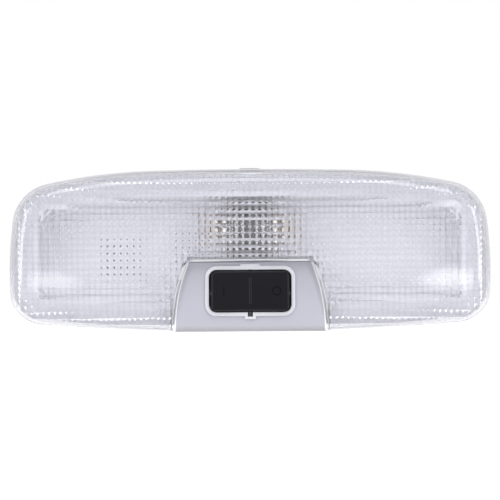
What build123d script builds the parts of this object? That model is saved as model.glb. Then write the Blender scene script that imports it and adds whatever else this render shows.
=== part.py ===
"""Car dome light with one festoon bulb behind a prismatic lens and a three-position rocker switch.

Frame: millimetres. X runs along the lamp, +Z towards the edge opposite the switch and -Y out of
the lens into the cabin. The plane Y = 0 is the headlining, on which the housing flange rests.
A depth is measured from that plane: positive towards the cabin, negative into the roof.
"""

import os
from math import asin, cos, hypot, sin, sqrt

from build123d import *

# Outline of the lens, seen from the cabin
HALF_LENGTH = 100.0
TOP_Z = 33.8
BOTTOM_Z = -33.9
TOP_RADIUS = 1800.0
SHOULDER_X = 40.4
SHOULDER_RADIUS = 230.0
END_RADIUS = 170.0
END_CENTRE_Z = -8.8
BOTTOM_RADIUS = 1060.0
TOP_CORNER_RADIUS = 18.3
BOTTOM_CORNER_RADIUS = 14.1

# Lens: a crowned shell with a rolled edge, a turned-back skirt and prism rows on its inner face
CROWN_DEPTH = 13.0
CROWN_RADIUS_X = 1250.0
CROWN_RADIUS_Z = 240.0
CROWN_SWEEP = 12.0
LENS_WALL = 2.3
LENS_EDGE_RADIUS = 7.0
ROLL_FACET = 0.634
ROLL_CORNER = 0.271
LENS_REAR = 0.4
NOTCH_WALL = 1.6
PRISM_PITCH = 2.5
PRISM_ROWS = 22
PRISM_HEIGHT = 0.45
PRISM_STEP = 0.1
PRISM_MARGIN = 9.5

# Barbs on the lens and panel skirts that snap behind the edge of the housing flange
TOP_LATCH_X = 36.8
TOP_LATCH_WIDTH = 12.0
BOTTOM_LATCH_X = 70.0
BOTTOM_LATCH_WIDTH = 4.0
PANEL_LATCH_X = 20.0
PANEL_LATCH_WIDTH = 5.0
LATCH_REACH = 1.0
LATCH_BITE = 0.8
LATCH_THICKNESS = 0.7
LATCH_CLEARANCE = 0.2

# Switch panel: a tapered plate let into the lower middle of the lens
PANEL_TOP_Z = -4.6
PANEL_BOTTOM_Z = -33.6
PANEL_TOP_HALF = 25.9
PANEL_BOTTOM_HALF = 31.6
PANEL_SIDE_BOW = 1.5
PANEL_CORNER_RADIUS = 2.2
PANEL_DEPTH = 9.5
PANEL_THICKNESS = 2.0
PANEL_WALL = 1.8
PANEL_LIP_RADIUS = 2.4
PANEL_EDGE_CHAMFER = 0.4
PANEL_CORNER_LEAST = 0.5
PANEL_GAP = 0.8
PRY_NOTCH_WIDTH = 3.4
PRY_NOTCH_DEPTH = 0.9
LEG_X = 20.8
LEG_WIDTH = 4.0
LEG_THICKNESS = 1.3
LEG_REAR = -5.0
LEG_GAP = 0.15
LEG_BARB = 1.0
LEG_BARB_LENGTH = 1.4

# Rocker key and its bearings in the panel
ROCKER_Z = -16.8
ROCKER_HEIGHT = 17.1
ROCKER_END_RADIUS = 16.8
ROCKER_PIVOT_DEPTH = 8.2
ROCKER_RISE = 4.0
ROCKER_DISH = 0.9
ROCKER_SKIRT = 3.6
ROCKER_WALL = 1.6
ROCKER_END_WALL = 2.2
ROCKER_CORNER_RADIUS = 3.6
OPENING_CORNER_RADIUS = 3.3
ROCKER_EDGE_CHAMFER = 0.6
ROCKER_CLEARANCE = 0.3
RIDGE_WIDTH = 0.8
RIDGE_LENGTH = 11.2
RIDGE_HEIGHT = 0.3
RIM_WIDTH = 1.5
RIM_HEIGHT = 0.8
TRUNNION_RADIUS = 1.0
TRUNNION_LENGTH = 1.9
TRUNNION_CLEARANCE = 0.05
TRUNNION_END_GAP = 0.15
TOP_BEARING_WIDTH = 8.0
TOP_BEARING_LENGTH = 2.3
BOTTOM_BEARING_WIDTH = 4.6
BOTTOM_BEARING_LENGTH = 2.8
BEARING_REAR = 5.8
TAIL_THICKNESS = 4.0
TAIL_HEIGHT = 6.0
TAIL_REACH = 11.0

# Wiper strip on the nose of the rocker tail, and the detent leaf below it
WIPER_THICKNESS = 0.4
WIPER_WIDTH = 1.2
WIPER_LENGTH = 4.2
WIPER_GAP = 0.15
LEAF_THICKNESS = 0.4
LEAF_WIDTH = 3.0
LEAF_HALF = 13.0
LEAF_FOOT = 3.2
LEAF_DROP = 4.0
LEAF_CREST = 4.6
LEAF_CLEARANCE = 0.3
LEAF_DIMPLE = 0.35
POST_LENGTH = 1.6
PIN_RADIUS = 0.5
PIN_HEIGHT = 0.9
PIN_CLEARANCE = 0.1

# Housing: flange, tray and switch well, one moulding
FLANGE_THICKNESS = 2.0
FLANGE_GAP = 0.35
TRAY_INSET = 9.0
TRAY_WALL = 2.0
TRAY_DEPTH = 18.0
TRAY_EDGE_CHAMFER = 1.2
WELL_INSET = 1.0
WELL_WALL = 1.6
WELL_BITE = 0.6
LEDGE_MARGIN = 0.6
LEDGE_TOP_Z = -12.0
RIB_THICKNESS = 1.4
RIB_HEIGHT = 1.8
RIB_LENGTH = 32.0
RIB_Z = 2.0
RIB_X = (-78.0, -66.0, -36.0, 62.0, 76.0)
PEG_X = -54.0
PEG_Z = -3.0
PEG_RADIUS = 4.4
PEG_BORE_RADIUS = 2.8
PEG_LENGTH = 9.0
PEG_END = 1.4
PORT_X = -24.4
PORT_Z = 1.4
PORT_RADIUS = 2.0
HOOK_X = 60.0
HOOK_WIDTH = 10.0
HOOK_REACH = 4.6
HOOK_FRONT = -3.2
HOOK_THICKNESS = 2.0

# Wiring socket on the back of the housing
SOCKET_X = 42.0
SOCKET_Z = 1.0
SOCKET_WIDTH = 18.0
SOCKET_HEIGHT = 10.8
SOCKET_WALL = 1.6
SOCKET_LENGTH = 13.0
SOCKET_CORNER_RADIUS = 1.0
KEYWAY_WIDTH = 3.6
KEYWAY_LENGTH = 5.0
BLADE_WIDTH = 2.8
BLADE_PITCH = 5.4
BLADE_LENGTH = 9.0

# Stamped conductor strips, staked to the back of the tray
STRIP_THICKNESS = 0.6
STRIP_WIDTH = 3.4
STRIP_CLEARANCE = 0.15
SLOT_CLEARANCE = 0.3
STAKE_WIDTH = 1.5
STAKE_HEAD_WIDTH = 2.5
STAKE_HEAD_HEIGHT = 0.7
FEED_Z = 14.0
TONGUE_TOP = -1.5
RETURN_TONGUE_GAP = 0.4
GROUND_TONGUE_X = 1.6
FEED_STAKES = (22.0, 30.0)
RETURN_STAKES = (-9.0, 0.0)
DOOR_STAKES = (10.0, 26.0)
GROUND_STAKES = (12.0, 32.0)

# Festoon bulb, its contacts and the heat shield behind it
BULB_LENGTH = 31.0
BULB_RADIUS = 5.1
BULB_WALL = 0.6
BULB_NECK_RADIUS = 2.9
BULB_NECK_X = 9.6
BULB_BODY_X = 7.2
BULB_GLASS_HALF = 11.4
BULB_Z = 9.0
BULB_DEPTH = -3.0
CAP_RADIUS = 3.7
CAP_GAP = 0.1
CAP_START_X = 10.0
CAP_CONE_X = 12.6
CAP_TIP_RADIUS = 0.8
COIL_RADIUS = 0.45
CONTACT_WIDTH = 7.0
CONTACT_HOLE_RADIUS = 1.6
CONTACT_RISE = 5.5
SHIELD_THICKNESS = 0.5
SHIELD_HALF_WIDTH = 13.4
SHIELD_RADIUS = 12.6
SHIELD_PAD_WIDTH = 5.0
SHIELD_TOP_CUT = 11.6

# Spring clip that holds the lamp in the roof
CLIP_THICKNESS = 0.6
CLIP_WIDTH = 8.2
CLIP_CREST_Z = 34.9
CLIP_CREST = -6.6
CLIP_NECK_Z = 29.0
CLIP_FRONT = -3.6
CLIP_BEND_RADIUS = 1.2
CLIP_LEG_END = -12.0
CLIP_TAIL_END = -16.6
CLIP_GAP = 0.25

FLOOR = TRAY_WALL - TRAY_DEPTH
BACK = -TRAY_DEPTH
STRIP_BACK = BACK - STRIP_THICKNESS
FLANGE_INSET = LENS_WALL + FLANGE_GAP
OPENING_HALF_X = ROCKER_END_RADIUS + ROCKER_CLEARANCE
OPENING_HALF_Z = ROCKER_HEIGHT / 2 + ROCKER_CLEARANCE
OPENING_TOP_Z = ROCKER_Z + OPENING_HALF_Z
OPENING_BOTTOM_Z = ROCKER_Z - OPENING_HALF_Z
NOSE_DEPTH = ROCKER_PIVOT_DEPTH - TAIL_REACH - TAIL_THICKNESS / 2
LEAF_TOP = NOSE_DEPTH - LEAF_CLEARANCE
LEAF_SEAT = LEAF_TOP - LEAF_DROP - LEAF_THICKNESS
CAP_SEAT_X = BULB_GLASS_HALF + CAP_GAP
CONTACT_X = BULB_LENGTH / 2 - STRIP_THICKNESS
WELL_TOP_INNER_Z = PANEL_TOP_Z - WELL_INSET - WELL_WALL
WIPER_HALF = TAIL_HEIGHT / 2 + WIPER_THICKNESS
DOOR_TONGUE_Z = ROCKER_Z + WIPER_HALF + WIPER_GAP
GROUND_TONGUE_Z = ROCKER_Z - WIPER_HALF - WIPER_GAP
RETURN_TONGUE_X = -LEAF_HALF + POST_LENGTH + RETURN_TONGUE_GAP
BULB_PLANE = Plane(origin=(0, -BULB_DEPTH, BULB_Z), x_dir=(1, 0, 0), z_dir=(0, -1, 0))
BULB_AXIS = Axis((0, -BULB_DEPTH, BULB_Z), (1, 0, 0))

TOP_LATCHES = [(side * TOP_LATCH_X, TOP_LATCH_WIDTH, True) for side in (-1, 1)]
BOTTOM_LATCHES = [(side * BOTTOM_LATCH_X, BOTTOM_LATCH_WIDTH, False) for side in (-1, 1)]
PANEL_LATCHES = [(side * PANEL_LATCH_X, PANEL_LATCH_WIDTH, False) for side in (-1, 1)]


def face_plane(depth):
    """The plane parallel to the headlining at a depth, facing the cabin."""
    return Plane.XZ.offset(depth)


def block(x_range, depth_range, z_range, mode=Mode.ADD):
    """A box between two values of X, of depth and of Z, in the current part."""
    centre = (sum(x_range) / 2, -sum(depth_range) / 2, sum(z_range) / 2)
    with Locations(centre):
        Box(
            abs(x_range[1] - x_range[0]),
            abs(depth_range[1] - depth_range[0]),
            abs(z_range[1] - z_range[0]),
            mode=mode,
        )


def depth_rod(x, z, depth_range, radius, mode=Mode.ADD):
    """A round bar or hole along the depth direction, in the current part."""
    with BuildSketch(face_plane(depth_range[0])) as section:
        with Locations((x, z)):
            Circle(radius)
    extrude(section.sketch, amount=depth_range[1] - depth_range[0], mode=mode)


def square_post(x, z, depth_range, width, mode=Mode.ADD):
    """A square bar or hole along the depth direction, in the current part."""
    block((x - width / 2, x + width / 2), depth_range, (z - width / 2, z + width / 2), mode)


def circles_meet(centre_a, radius_a, centre_b, radius_b, upper):
    """The right-hand meeting point of two circles: the upper or the lower one."""
    dx = centre_b[0] - centre_a[0]
    dz = centre_b[1] - centre_a[1]
    gap = hypot(dx, dz)
    along = (radius_a**2 - radius_b**2 + gap**2) / (2 * gap)
    across = sqrt(radius_a**2 - along**2)
    foot = (centre_a[0] + along * dx / gap, centre_a[1] + along * dz / gap)
    step = (-across * dz / gap, across * dx / gap)
    points = [(foot[0] + side * step[0], foot[1] + side * step[1]) for side in (1, -1)]
    points = [point for point in points if point[0] > 0]
    points.sort(key=lambda point: point[1])
    return points[-1] if upper else points[0]


# Centres of the outline's arcs: a flat top that tightens into two shoulders, bowed ends, a flat bottom
TOP_CENTRE = (0, TOP_Z - TOP_RADIUS)
END_CENTRE = (HALF_LENGTH - END_RADIUS, END_CENTRE_Z)
BOTTOM_CENTRE = (0, BOTTOM_Z + BOTTOM_RADIUS)
SHOULDER_ANGLE = asin(SHOULDER_X / TOP_RADIUS)
SHOULDER_CENTRE = (
    (TOP_RADIUS - SHOULDER_RADIUS) * sin(SHOULDER_ANGLE),
    TOP_CENTRE[1] + (TOP_RADIUS - SHOULDER_RADIUS) * cos(SHOULDER_ANGLE),
)


def inset_outline(inset):
    """The lamp's outline, drawn in by a distance."""
    top_radius = TOP_RADIUS - inset
    shoulder_radius = SHOULDER_RADIUS - inset
    end_radius = END_RADIUS - inset
    bottom_radius = BOTTOM_RADIUS - inset
    shoulder = (top_radius * sin(SHOULDER_ANGLE), TOP_CENTRE[1] + top_radius * cos(SHOULDER_ANGLE))
    top_corner = circles_meet(SHOULDER_CENTRE, shoulder_radius, END_CENTRE, end_radius, True)
    bottom_corner = circles_meet(BOTTOM_CENTRE, bottom_radius, END_CENTRE, end_radius, False)
    shoulder_left = (-shoulder[0], shoulder[1])
    top_corner_left = (-top_corner[0], top_corner[1])
    bottom_corner_left = (-bottom_corner[0], bottom_corner[1])
    with BuildSketch() as shape:
        with BuildLine():
            RadiusArc(shoulder_left, shoulder, top_radius)
            RadiusArc(shoulder, top_corner, shoulder_radius)
            RadiusArc(top_corner, bottom_corner, end_radius)
            RadiusArc(bottom_corner, bottom_corner_left, bottom_radius)
            RadiusArc(bottom_corner_left, top_corner_left, end_radius)
            RadiusArc(top_corner_left, shoulder_left, shoulder_radius)
        make_face()
        fillet(shape.vertices().group_by(Axis.Y)[0], BOTTOM_CORNER_RADIUS - inset)
        top_corners = shape.vertices().filter_by(lambda v: abs(v.Y - top_corner[1]) < 0.01)
        fillet(top_corners, TOP_CORNER_RADIUS - inset)
    return shape.sketch


# The arc of the switch panel's right side
PANEL_DROP = PANEL_TOP_Z - PANEL_BOTTOM_Z
PANEL_SPREAD = PANEL_BOTTOM_HALF - PANEL_TOP_HALF
PANEL_CHORD = hypot(PANEL_DROP, PANEL_SPREAD)
PANEL_SIDE_RADIUS = PANEL_CHORD**2 / (8 * PANEL_SIDE_BOW) + PANEL_SIDE_BOW / 2
PANEL_SIDE_CENTRE = (
    (PANEL_TOP_HALF + PANEL_BOTTOM_HALF) / 2
    - (PANEL_SIDE_RADIUS - PANEL_SIDE_BOW) * PANEL_DROP / PANEL_CHORD,
    (PANEL_TOP_Z + PANEL_BOTTOM_Z) / 2
    - (PANEL_SIDE_RADIUS - PANEL_SIDE_BOW) * PANEL_SPREAD / PANEL_CHORD,
)


def panel_shape(growth):
    """The switch panel's outline, grown by a distance (drawn in when it is negative)."""
    radius = PANEL_SIDE_RADIUS + growth
    top = PANEL_TOP_Z + growth
    bottom = PANEL_BOTTOM_Z - growth
    top_half = PANEL_SIDE_CENTRE[0] + sqrt(radius**2 - (top - PANEL_SIDE_CENTRE[1]) ** 2)
    bottom_half = PANEL_SIDE_CENTRE[0] + sqrt(radius**2 - (bottom - PANEL_SIDE_CENTRE[1]) ** 2)
    corner_radius = max(PANEL_CORNER_RADIUS + growth, PANEL_CORNER_LEAST)
    with BuildSketch() as shape:
        with BuildLine():
            Line((-top_half, top), (top_half, top))
            RadiusArc((top_half, top), (bottom_half, bottom), radius)
            Line((bottom_half, bottom), (-bottom_half, bottom))
            RadiusArc((-bottom_half, bottom), (-top_half, top), radius)
        make_face()
        fillet(shape.vertices().group_by(Axis.Y)[-1], corner_radius)
    return shape.sketch


def notch_prism(growth):
    """A prism through the lens over the panel's outline, open past the lamp's bottom edge."""
    with BuildPart() as prism:
        with BuildSketch(face_plane(-1)):
            add(panel_shape(growth))
            with Locations((0, PANEL_BOTTOM_Z - 2)):
                Rectangle(2 * (PANEL_BOTTOM_HALF + growth), 6)
        extrude(amount=CROWN_DEPTH + 5)
    return prism.part


def crown_depth(z, apex):
    """The depth of a crowned face at mid length, for its depth at Z = 0."""
    return apex - CROWN_RADIUS_Z + sqrt(CROWN_RADIUS_Z**2 - z**2)


def crown_turn(part):
    """Centre a slab that was turned from X = 0 about the long crown's axis."""
    return part.rotate(Axis((0, CROWN_RADIUS_X - CROWN_DEPTH, 0), (0, 0, 1)), -CROWN_SWEEP / 2)


def crown_slab(apex):
    """A slab behind a face that is crowned both along the lamp and across it."""
    edge_z = TOP_Z + 10
    edge_y = -crown_depth(edge_z, apex)
    with BuildPart() as slab:
        with BuildSketch(Plane.YZ):
            with BuildLine():
                ThreePointArc((edge_y, -edge_z), (-apex, 0), (edge_y, edge_z))
                Polyline((edge_y, edge_z), (6, edge_z), (6, -edge_z), (edge_y, -edge_z))
            make_face()
        axis = Axis((0, CROWN_RADIUS_X - CROWN_DEPTH, 0), (0, 0, 1))
        revolve(axis=axis, revolution_arc=CROWN_SWEEP)
    return crown_turn(slab.part)


def lens_form(inset, apex, edge_radius):
    """The crowned block that bounds the lens outside or inside, its edge rolled in three facets."""
    with BuildPart() as form:
        with BuildSketch(face_plane(LENS_REAR)):
            add(inset_outline(inset))
        extrude(amount=CROWN_DEPTH)
        add(crown_slab(apex), mode=Mode.INTERSECT)
        chamfer(form.faces().sort_by(Axis.Y)[0].edges(), ROLL_FACET * edge_radius)
        front_edges = form.faces().sort_by(Axis.Y)[0].edges()
        skirt_edges = form.faces().filter_by(GeomType.CYLINDER).edges().filter_by(GeomType.LINE, reverse=True)
        skirt_edges = skirt_edges.filter_by(lambda edge: edge.center().Y < -LENS_REAR - 1)
        chamfer(front_edges + skirt_edges, ROLL_CORNER * edge_radius)
    return form.part


def edge_z(x, top):
    """The Z of the lamp's top or bottom edge at an X between its corners."""
    if top:
        return TOP_Z - TOP_RADIUS + sqrt(TOP_RADIUS**2 - x**2)
    return BOTTOM_Z + BOTTOM_RADIUS - sqrt(BOTTOM_RADIUS**2 - x**2)


def latch_block(latch, depth_range, outer_inset, inner_inset, growth, mode):
    """A block between two insets from the lamp's edge, at one latch, in the current part."""
    x, width, top = latch
    inward = -1 if top else 1
    edge = edge_z(x, top)
    half = width / 2 + growth
    z_range = (edge + inward * outer_inset, edge + inward * inner_inset)
    block((x - half, x + half), depth_range, z_range, mode)


def add_barbs(latches):
    """Barbs on a skirt's inner face, in the current part."""
    for latch in latches:
        depths = (LENS_REAR, LENS_REAR + LATCH_THICKNESS)
        latch_block(latch, depths, LENS_WALL - LATCH_BITE, LENS_WALL + LATCH_REACH, 0, Mode.ADD)


def flange_space():
    """The room kept for the flange: whatever sits over it stops at its front face."""
    with BuildPart() as space:
        with BuildSketch(face_plane(-2)):
            add(inset_outline(LENS_WALL + FLANGE_GAP / 2))
        extrude(amount=FLANGE_THICKNESS + 2)
    return space.part


os.makedirs("parts", exist_ok=True)

# Prism rows: ridges along the lens, turned about the long crown's axis so that they follow it
prism_apex = CROWN_DEPTH - LENS_WALL
prism_root = LENS_WALL / 4
with BuildPart() as prism_rows:
    with BuildSketch(Plane.YZ):
        with BuildLine():
            ridges = []
            for step in range(2 * PRISM_ROWS + 1):
                z = (step - PRISM_ROWS) * PRISM_PITCH / 2
                height = PRISM_STEP + PRISM_HEIGHT * (step % 2)
                ridges.append((height - crown_depth(z, prism_apex), z))
            bottom = (-crown_depth(ridges[0][1], prism_apex) - prism_root, ridges[0][1])
            top = (-crown_depth(ridges[-1][1], prism_apex) - prism_root, ridges[-1][1])
            Polyline(bottom, *ridges, top)
            ThreePointArc(top, (-prism_apex - prism_root, 0), bottom)
        make_face()
    revolve(axis=Axis((0, CROWN_RADIUS_X - CROWN_DEPTH, 0), (0, 0, 1)), revolution_arc=CROWN_SWEEP)

with BuildPart() as prism_field:
    with BuildSketch(face_plane(-1)):
        add(inset_outline(PRISM_MARGIN))
    extrude(amount=CROWN_DEPTH + 2)
    add(notch_prism(PANEL_GAP + NOTCH_WALL), mode=Mode.SUBTRACT)
    add(crown_turn(prism_rows.part), mode=Mode.INTERSECT)

with BuildPart() as lens_room:
    add(lens_form(LENS_WALL, CROWN_DEPTH - LENS_WALL, LENS_EDGE_RADIUS - LENS_WALL))
    add(notch_prism(PANEL_GAP + NOTCH_WALL), mode=Mode.SUBTRACT)

# Clear lens: crowned shell, notched for the switch panel
with BuildPart() as lens:
    add(lens_form(0, CROWN_DEPTH, LENS_EDGE_RADIUS))
    add(notch_prism(PANEL_GAP), mode=Mode.SUBTRACT)
    add(lens_room.part, mode=Mode.SUBTRACT)
    add(flange_space(), mode=Mode.SUBTRACT)
    add(prism_field.part)
    add_barbs(TOP_LATCHES + BOTTOM_LATCHES)
lens.part.label = "lens"
export_step(lens.part, "parts/lens.step")

# Switch panel: frosted plate with a skirt, the rocker's opening, its rim and two bearings
with BuildPart() as switch_panel:
    with BuildSketch(face_plane(LENS_REAR)):
        add(panel_shape(0))
    extrude(amount=PANEL_DEPTH - LENS_REAR)
    front_edges = switch_panel.faces().sort_by(Axis.Y)[0].edges().sort_by(Axis.Z)
    chamfer(front_edges[1:], PANEL_EDGE_CHAMFER)
    with BuildSketch(Plane.YZ) as side_view:
        with Locations((-PANEL_DEPTH, PANEL_BOTTOM_Z)):
            Rectangle(PANEL_DEPTH, PANEL_DROP, align=(Align.MIN, Align.MIN))
        lip_corner = side_view.vertices().sort_by(Axis.X)[0:2].sort_by(Axis.Y)[0]
        fillet(lip_corner, PANEL_LIP_RADIUS)
    extrude(amount=2 * (PANEL_TOP_HALF + PANEL_BOTTOM_HALF), both=True, mode=Mode.INTERSECT)
    with BuildSketch(face_plane(LENS_REAR)):
        add(panel_shape(-PANEL_WALL))
    extrude(amount=PANEL_DEPTH - PANEL_THICKNESS - LENS_REAR, mode=Mode.SUBTRACT)
    with BuildSketch(face_plane(PANEL_DEPTH - PANEL_THICKNESS)):
        with Locations((0, ROCKER_Z)):
            RectangleRounded(
                2 * (OPENING_HALF_X + RIM_WIDTH),
                2 * (OPENING_HALF_Z + RIM_WIDTH),
                OPENING_CORNER_RADIUS + RIM_WIDTH,
            )
    extrude(amount=PANEL_THICKNESS + RIM_HEIGHT)
    top_bearing = (OPENING_TOP_Z - 1, OPENING_TOP_Z + TOP_BEARING_LENGTH)
    bottom_bearing = (OPENING_BOTTOM_Z - BOTTOM_BEARING_LENGTH, OPENING_BOTTOM_Z + 1)
    rim_front = PANEL_DEPTH + RIM_HEIGHT
    block((-TOP_BEARING_WIDTH / 2, TOP_BEARING_WIDTH / 2), (BEARING_REAR, rim_front), top_bearing)
    block((-BOTTOM_BEARING_WIDTH / 2, BOTTOM_BEARING_WIDTH / 2), (BEARING_REAR, rim_front), bottom_bearing)
    with BuildSketch(face_plane(BEARING_REAR - 1)):
        with Locations((0, ROCKER_Z)):
            RectangleRounded(2 * OPENING_HALF_X, 2 * OPENING_HALF_Z, OPENING_CORNER_RADIUS)
    extrude(amount=rim_front, mode=Mode.SUBTRACT)
    bore_radius = TRUNNION_RADIUS + TRUNNION_CLEARANCE
    bore_reach = ROCKER_HEIGHT / 2 + TRUNNION_LENGTH + TRUNNION_END_GAP
    with BuildSketch(Plane.XY.offset(ROCKER_Z)):
        with Locations((0, -ROCKER_PIVOT_DEPTH)):
            Circle(bore_radius)
    extrude(amount=bore_reach, both=True, mode=Mode.SUBTRACT)
    bore_slot = (ROCKER_Z - bore_reach, OPENING_BOTTOM_Z)
    block((-bore_radius, bore_radius), (ROCKER_PIVOT_DEPTH, rim_front + 1), bore_slot, Mode.SUBTRACT)
    pry_notch = (PANEL_BOTTOM_Z - 1, PANEL_BOTTOM_Z + PRY_NOTCH_DEPTH)
    pry_half = PRY_NOTCH_WIDTH / 2
    block((-pry_half, pry_half), (0, PANEL_DEPTH - PANEL_LIP_RADIUS), pry_notch, Mode.SUBTRACT)
    add(flange_space(), mode=Mode.SUBTRACT)
    leg_top_z = WELL_TOP_INNER_Z - LEG_GAP
    for side in (-1, 1):
        leg_x = (side * LEG_X - LEG_WIDTH / 2, side * LEG_X + LEG_WIDTH / 2)
        block(leg_x, (LEG_REAR, PANEL_DEPTH - 1), (leg_top_z - LEG_THICKNESS, leg_top_z))
        barb_z = (leg_top_z - LEG_THICKNESS, leg_top_z + LEG_BARB)
        block(leg_x, (LEG_REAR, LEG_REAR + LEG_BARB_LENGTH), barb_z)
    add_barbs(PANEL_LATCHES)
switch_panel.part.label = "switch_panel"
export_step(switch_panel.part, "parts/switch_panel.step")

# Rocker key: hollow, with ends concentric with the pivot so that they keep their gap as it tilts
key_top = ROCKER_PIVOT_DEPTH + ROCKER_RISE
key_rear = ROCKER_PIVOT_DEPTH - ROCKER_SKIRT
key_top_half = sqrt(ROCKER_END_RADIUS**2 - ROCKER_RISE**2)
key_rear_half = sqrt(ROCKER_END_RADIUS**2 - ROCKER_SKIRT**2)
with BuildPart() as rocker_key:
    with BuildSketch(Plane.XY.offset(ROCKER_Z)):
        with BuildLine():
            Polyline((-key_top_half, -key_top), (0, ROCKER_DISH - key_top), (key_top_half, -key_top))
            ThreePointArc(
                (key_top_half, -key_top),
                (ROCKER_END_RADIUS, -ROCKER_PIVOT_DEPTH),
                (key_rear_half, -key_rear),
            )
            Line((key_rear_half, -key_rear), (-key_rear_half, -key_rear))
            ThreePointArc(
                (-key_rear_half, -key_rear),
                (-ROCKER_END_RADIUS, -ROCKER_PIVOT_DEPTH),
                (-key_top_half, -key_top),
            )
        make_face()
    extrude(amount=ROCKER_HEIGHT / 2, both=True)
    with BuildSketch(face_plane(key_rear)):
        with Locations((0, ROCKER_Z)):
            RectangleRounded(2 * ROCKER_END_RADIUS, ROCKER_HEIGHT, ROCKER_CORNER_RADIUS)
    extrude(amount=key_top - key_rear, mode=Mode.INTERSECT)
    key_front = rocker_key.faces().sort_by(Axis.Y)[0:2]
    middle_edge = key_front.edges().sort_by_distance((0, ROCKER_DISH - key_top, ROCKER_Z))[0]
    rim_edges = key_front.edges().filter_by(lambda edge: edge != middle_edge)
    chamfer(rim_edges, ROCKER_EDGE_CHAMFER)
    pocket_z = (ROCKER_Z - ROCKER_HEIGHT / 2 + ROCKER_WALL, ROCKER_Z + ROCKER_HEIGHT / 2 - ROCKER_WALL)
    pocket_depth = (key_rear - 1, key_top - ROCKER_DISH - ROCKER_WALL)
    for side in (-1, 1):
        pocket_x = (side * TAIL_THICKNESS, side * (key_rear_half - ROCKER_END_WALL))
        block(pocket_x, pocket_depth, pocket_z, Mode.SUBTRACT)
    with BuildSketch(Plane.XY.offset(ROCKER_Z)):
        with Locations((0, -ROCKER_PIVOT_DEPTH)):
            Circle(TRUNNION_RADIUS)
    extrude(amount=ROCKER_HEIGHT / 2 + TRUNNION_LENGTH, both=True)
    with BuildSketch(Plane.XY.offset(ROCKER_Z)):
        with Locations((0, (TAIL_REACH - 2 * ROCKER_PIVOT_DEPTH) / 2)):
            Rectangle(TAIL_THICKNESS, TAIL_REACH)
        with Locations((0, TAIL_REACH - ROCKER_PIVOT_DEPTH)):
            Circle(TAIL_THICKNESS / 2)
    extrude(amount=TAIL_HEIGHT / 2, both=True)
    wiper_half = WIPER_WIDTH / 2
    groove = (NOSE_DEPTH - 1, NOSE_DEPTH + WIPER_THICKNESS)
    block((-wiper_half, wiper_half), groove, (ROCKER_Z - TAIL_HEIGHT, ROCKER_Z + TAIL_HEIGHT), Mode.SUBTRACT)
    ridge_depth = key_top - ROCKER_DISH + RIDGE_HEIGHT
    block(
        (-RIDGE_WIDTH / 2, RIDGE_WIDTH / 2),
        (ridge_depth - 1, ridge_depth),
        (ROCKER_Z - RIDGE_LENGTH / 2, ROCKER_Z + RIDGE_LENGTH / 2),
    )
rocker_key.part.label = "rocker_key"
export_step(rocker_key.part, "parts/rocker_key.step")

# Wiper: a bronze strap over the nose, its two wings sliding past the switch tongues
with BuildPart() as wiper:
    strap_z = (ROCKER_Z - WIPER_HALF, ROCKER_Z + WIPER_HALF)
    block((-wiper_half, wiper_half), (NOSE_DEPTH, NOSE_DEPTH + WIPER_THICKNESS), strap_z)
    for side in (-1, 1):
        wing_z = (ROCKER_Z + side * TAIL_HEIGHT / 2, ROCKER_Z + side * WIPER_HALF)
        block((-wiper_half, wiper_half), (NOSE_DEPTH, NOSE_DEPTH + WIPER_LENGTH), wing_z)
wiper.part.label = "wiper"
export_step(wiper.part, "parts/wiper.step")

# Detent leaf: spring strip with three dips for the nose, pinned on two posts
with BuildPart() as detent_leaf:
    with BuildSketch(Plane.XY.offset(ROCKER_Z)):
        with BuildLine():
            Polyline(
                (-LEAF_HALF, LEAF_THICKNESS / 2 - LEAF_TOP + LEAF_DROP),
                (-LEAF_HALF + LEAF_FOOT, LEAF_THICKNESS / 2 - LEAF_TOP + LEAF_DROP),
                (-LEAF_CREST, LEAF_THICKNESS / 2 - LEAF_TOP),
                (-LEAF_CREST / 2, LEAF_THICKNESS / 2 - LEAF_TOP + LEAF_DIMPLE),
                (-LEAF_CREST / 6, LEAF_THICKNESS / 2 - LEAF_TOP),
                (0, LEAF_THICKNESS / 2 - LEAF_TOP + LEAF_DIMPLE),
                (LEAF_CREST / 6, LEAF_THICKNESS / 2 - LEAF_TOP),
                (LEAF_CREST / 2, LEAF_THICKNESS / 2 - LEAF_TOP + LEAF_DIMPLE),
                (LEAF_CREST, LEAF_THICKNESS / 2 - LEAF_TOP),
                (LEAF_HALF - LEAF_FOOT, LEAF_THICKNESS / 2 - LEAF_TOP + LEAF_DROP),
                (LEAF_HALF, LEAF_THICKNESS / 2 - LEAF_TOP + LEAF_DROP),
            )
        trace(line_width=LEAF_THICKNESS)
    extrude(amount=LEAF_WIDTH / 2, both=True)
    for side in (-1, 1):
        pin_x = side * (LEAF_HALF - POST_LENGTH / 2)
        depth_rod(pin_x, ROCKER_Z, (LEAF_SEAT - 1, LEAF_SEAT + 2), PIN_RADIUS + PIN_CLEARANCE, Mode.SUBTRACT)
detent_leaf.part.label = "detent_leaf"
export_step(detent_leaf.part, "parts/detent_leaf.step")


def tray_form(inset, rear):
    """The block that bounds the tray outside or inside, from the flange front to a depth."""
    with BuildPart() as form:
        with BuildSketch(face_plane(rear)):
            add(inset_outline(TRAY_INSET + inset))
        extrude(amount=FLANGE_THICKNESS - rear)
    return form.part


def tray_top_z(inset):
    """The tray's top wall at mid length, for a distance in from its outer face."""
    return TOP_Z - TRAY_INSET - inset


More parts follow.
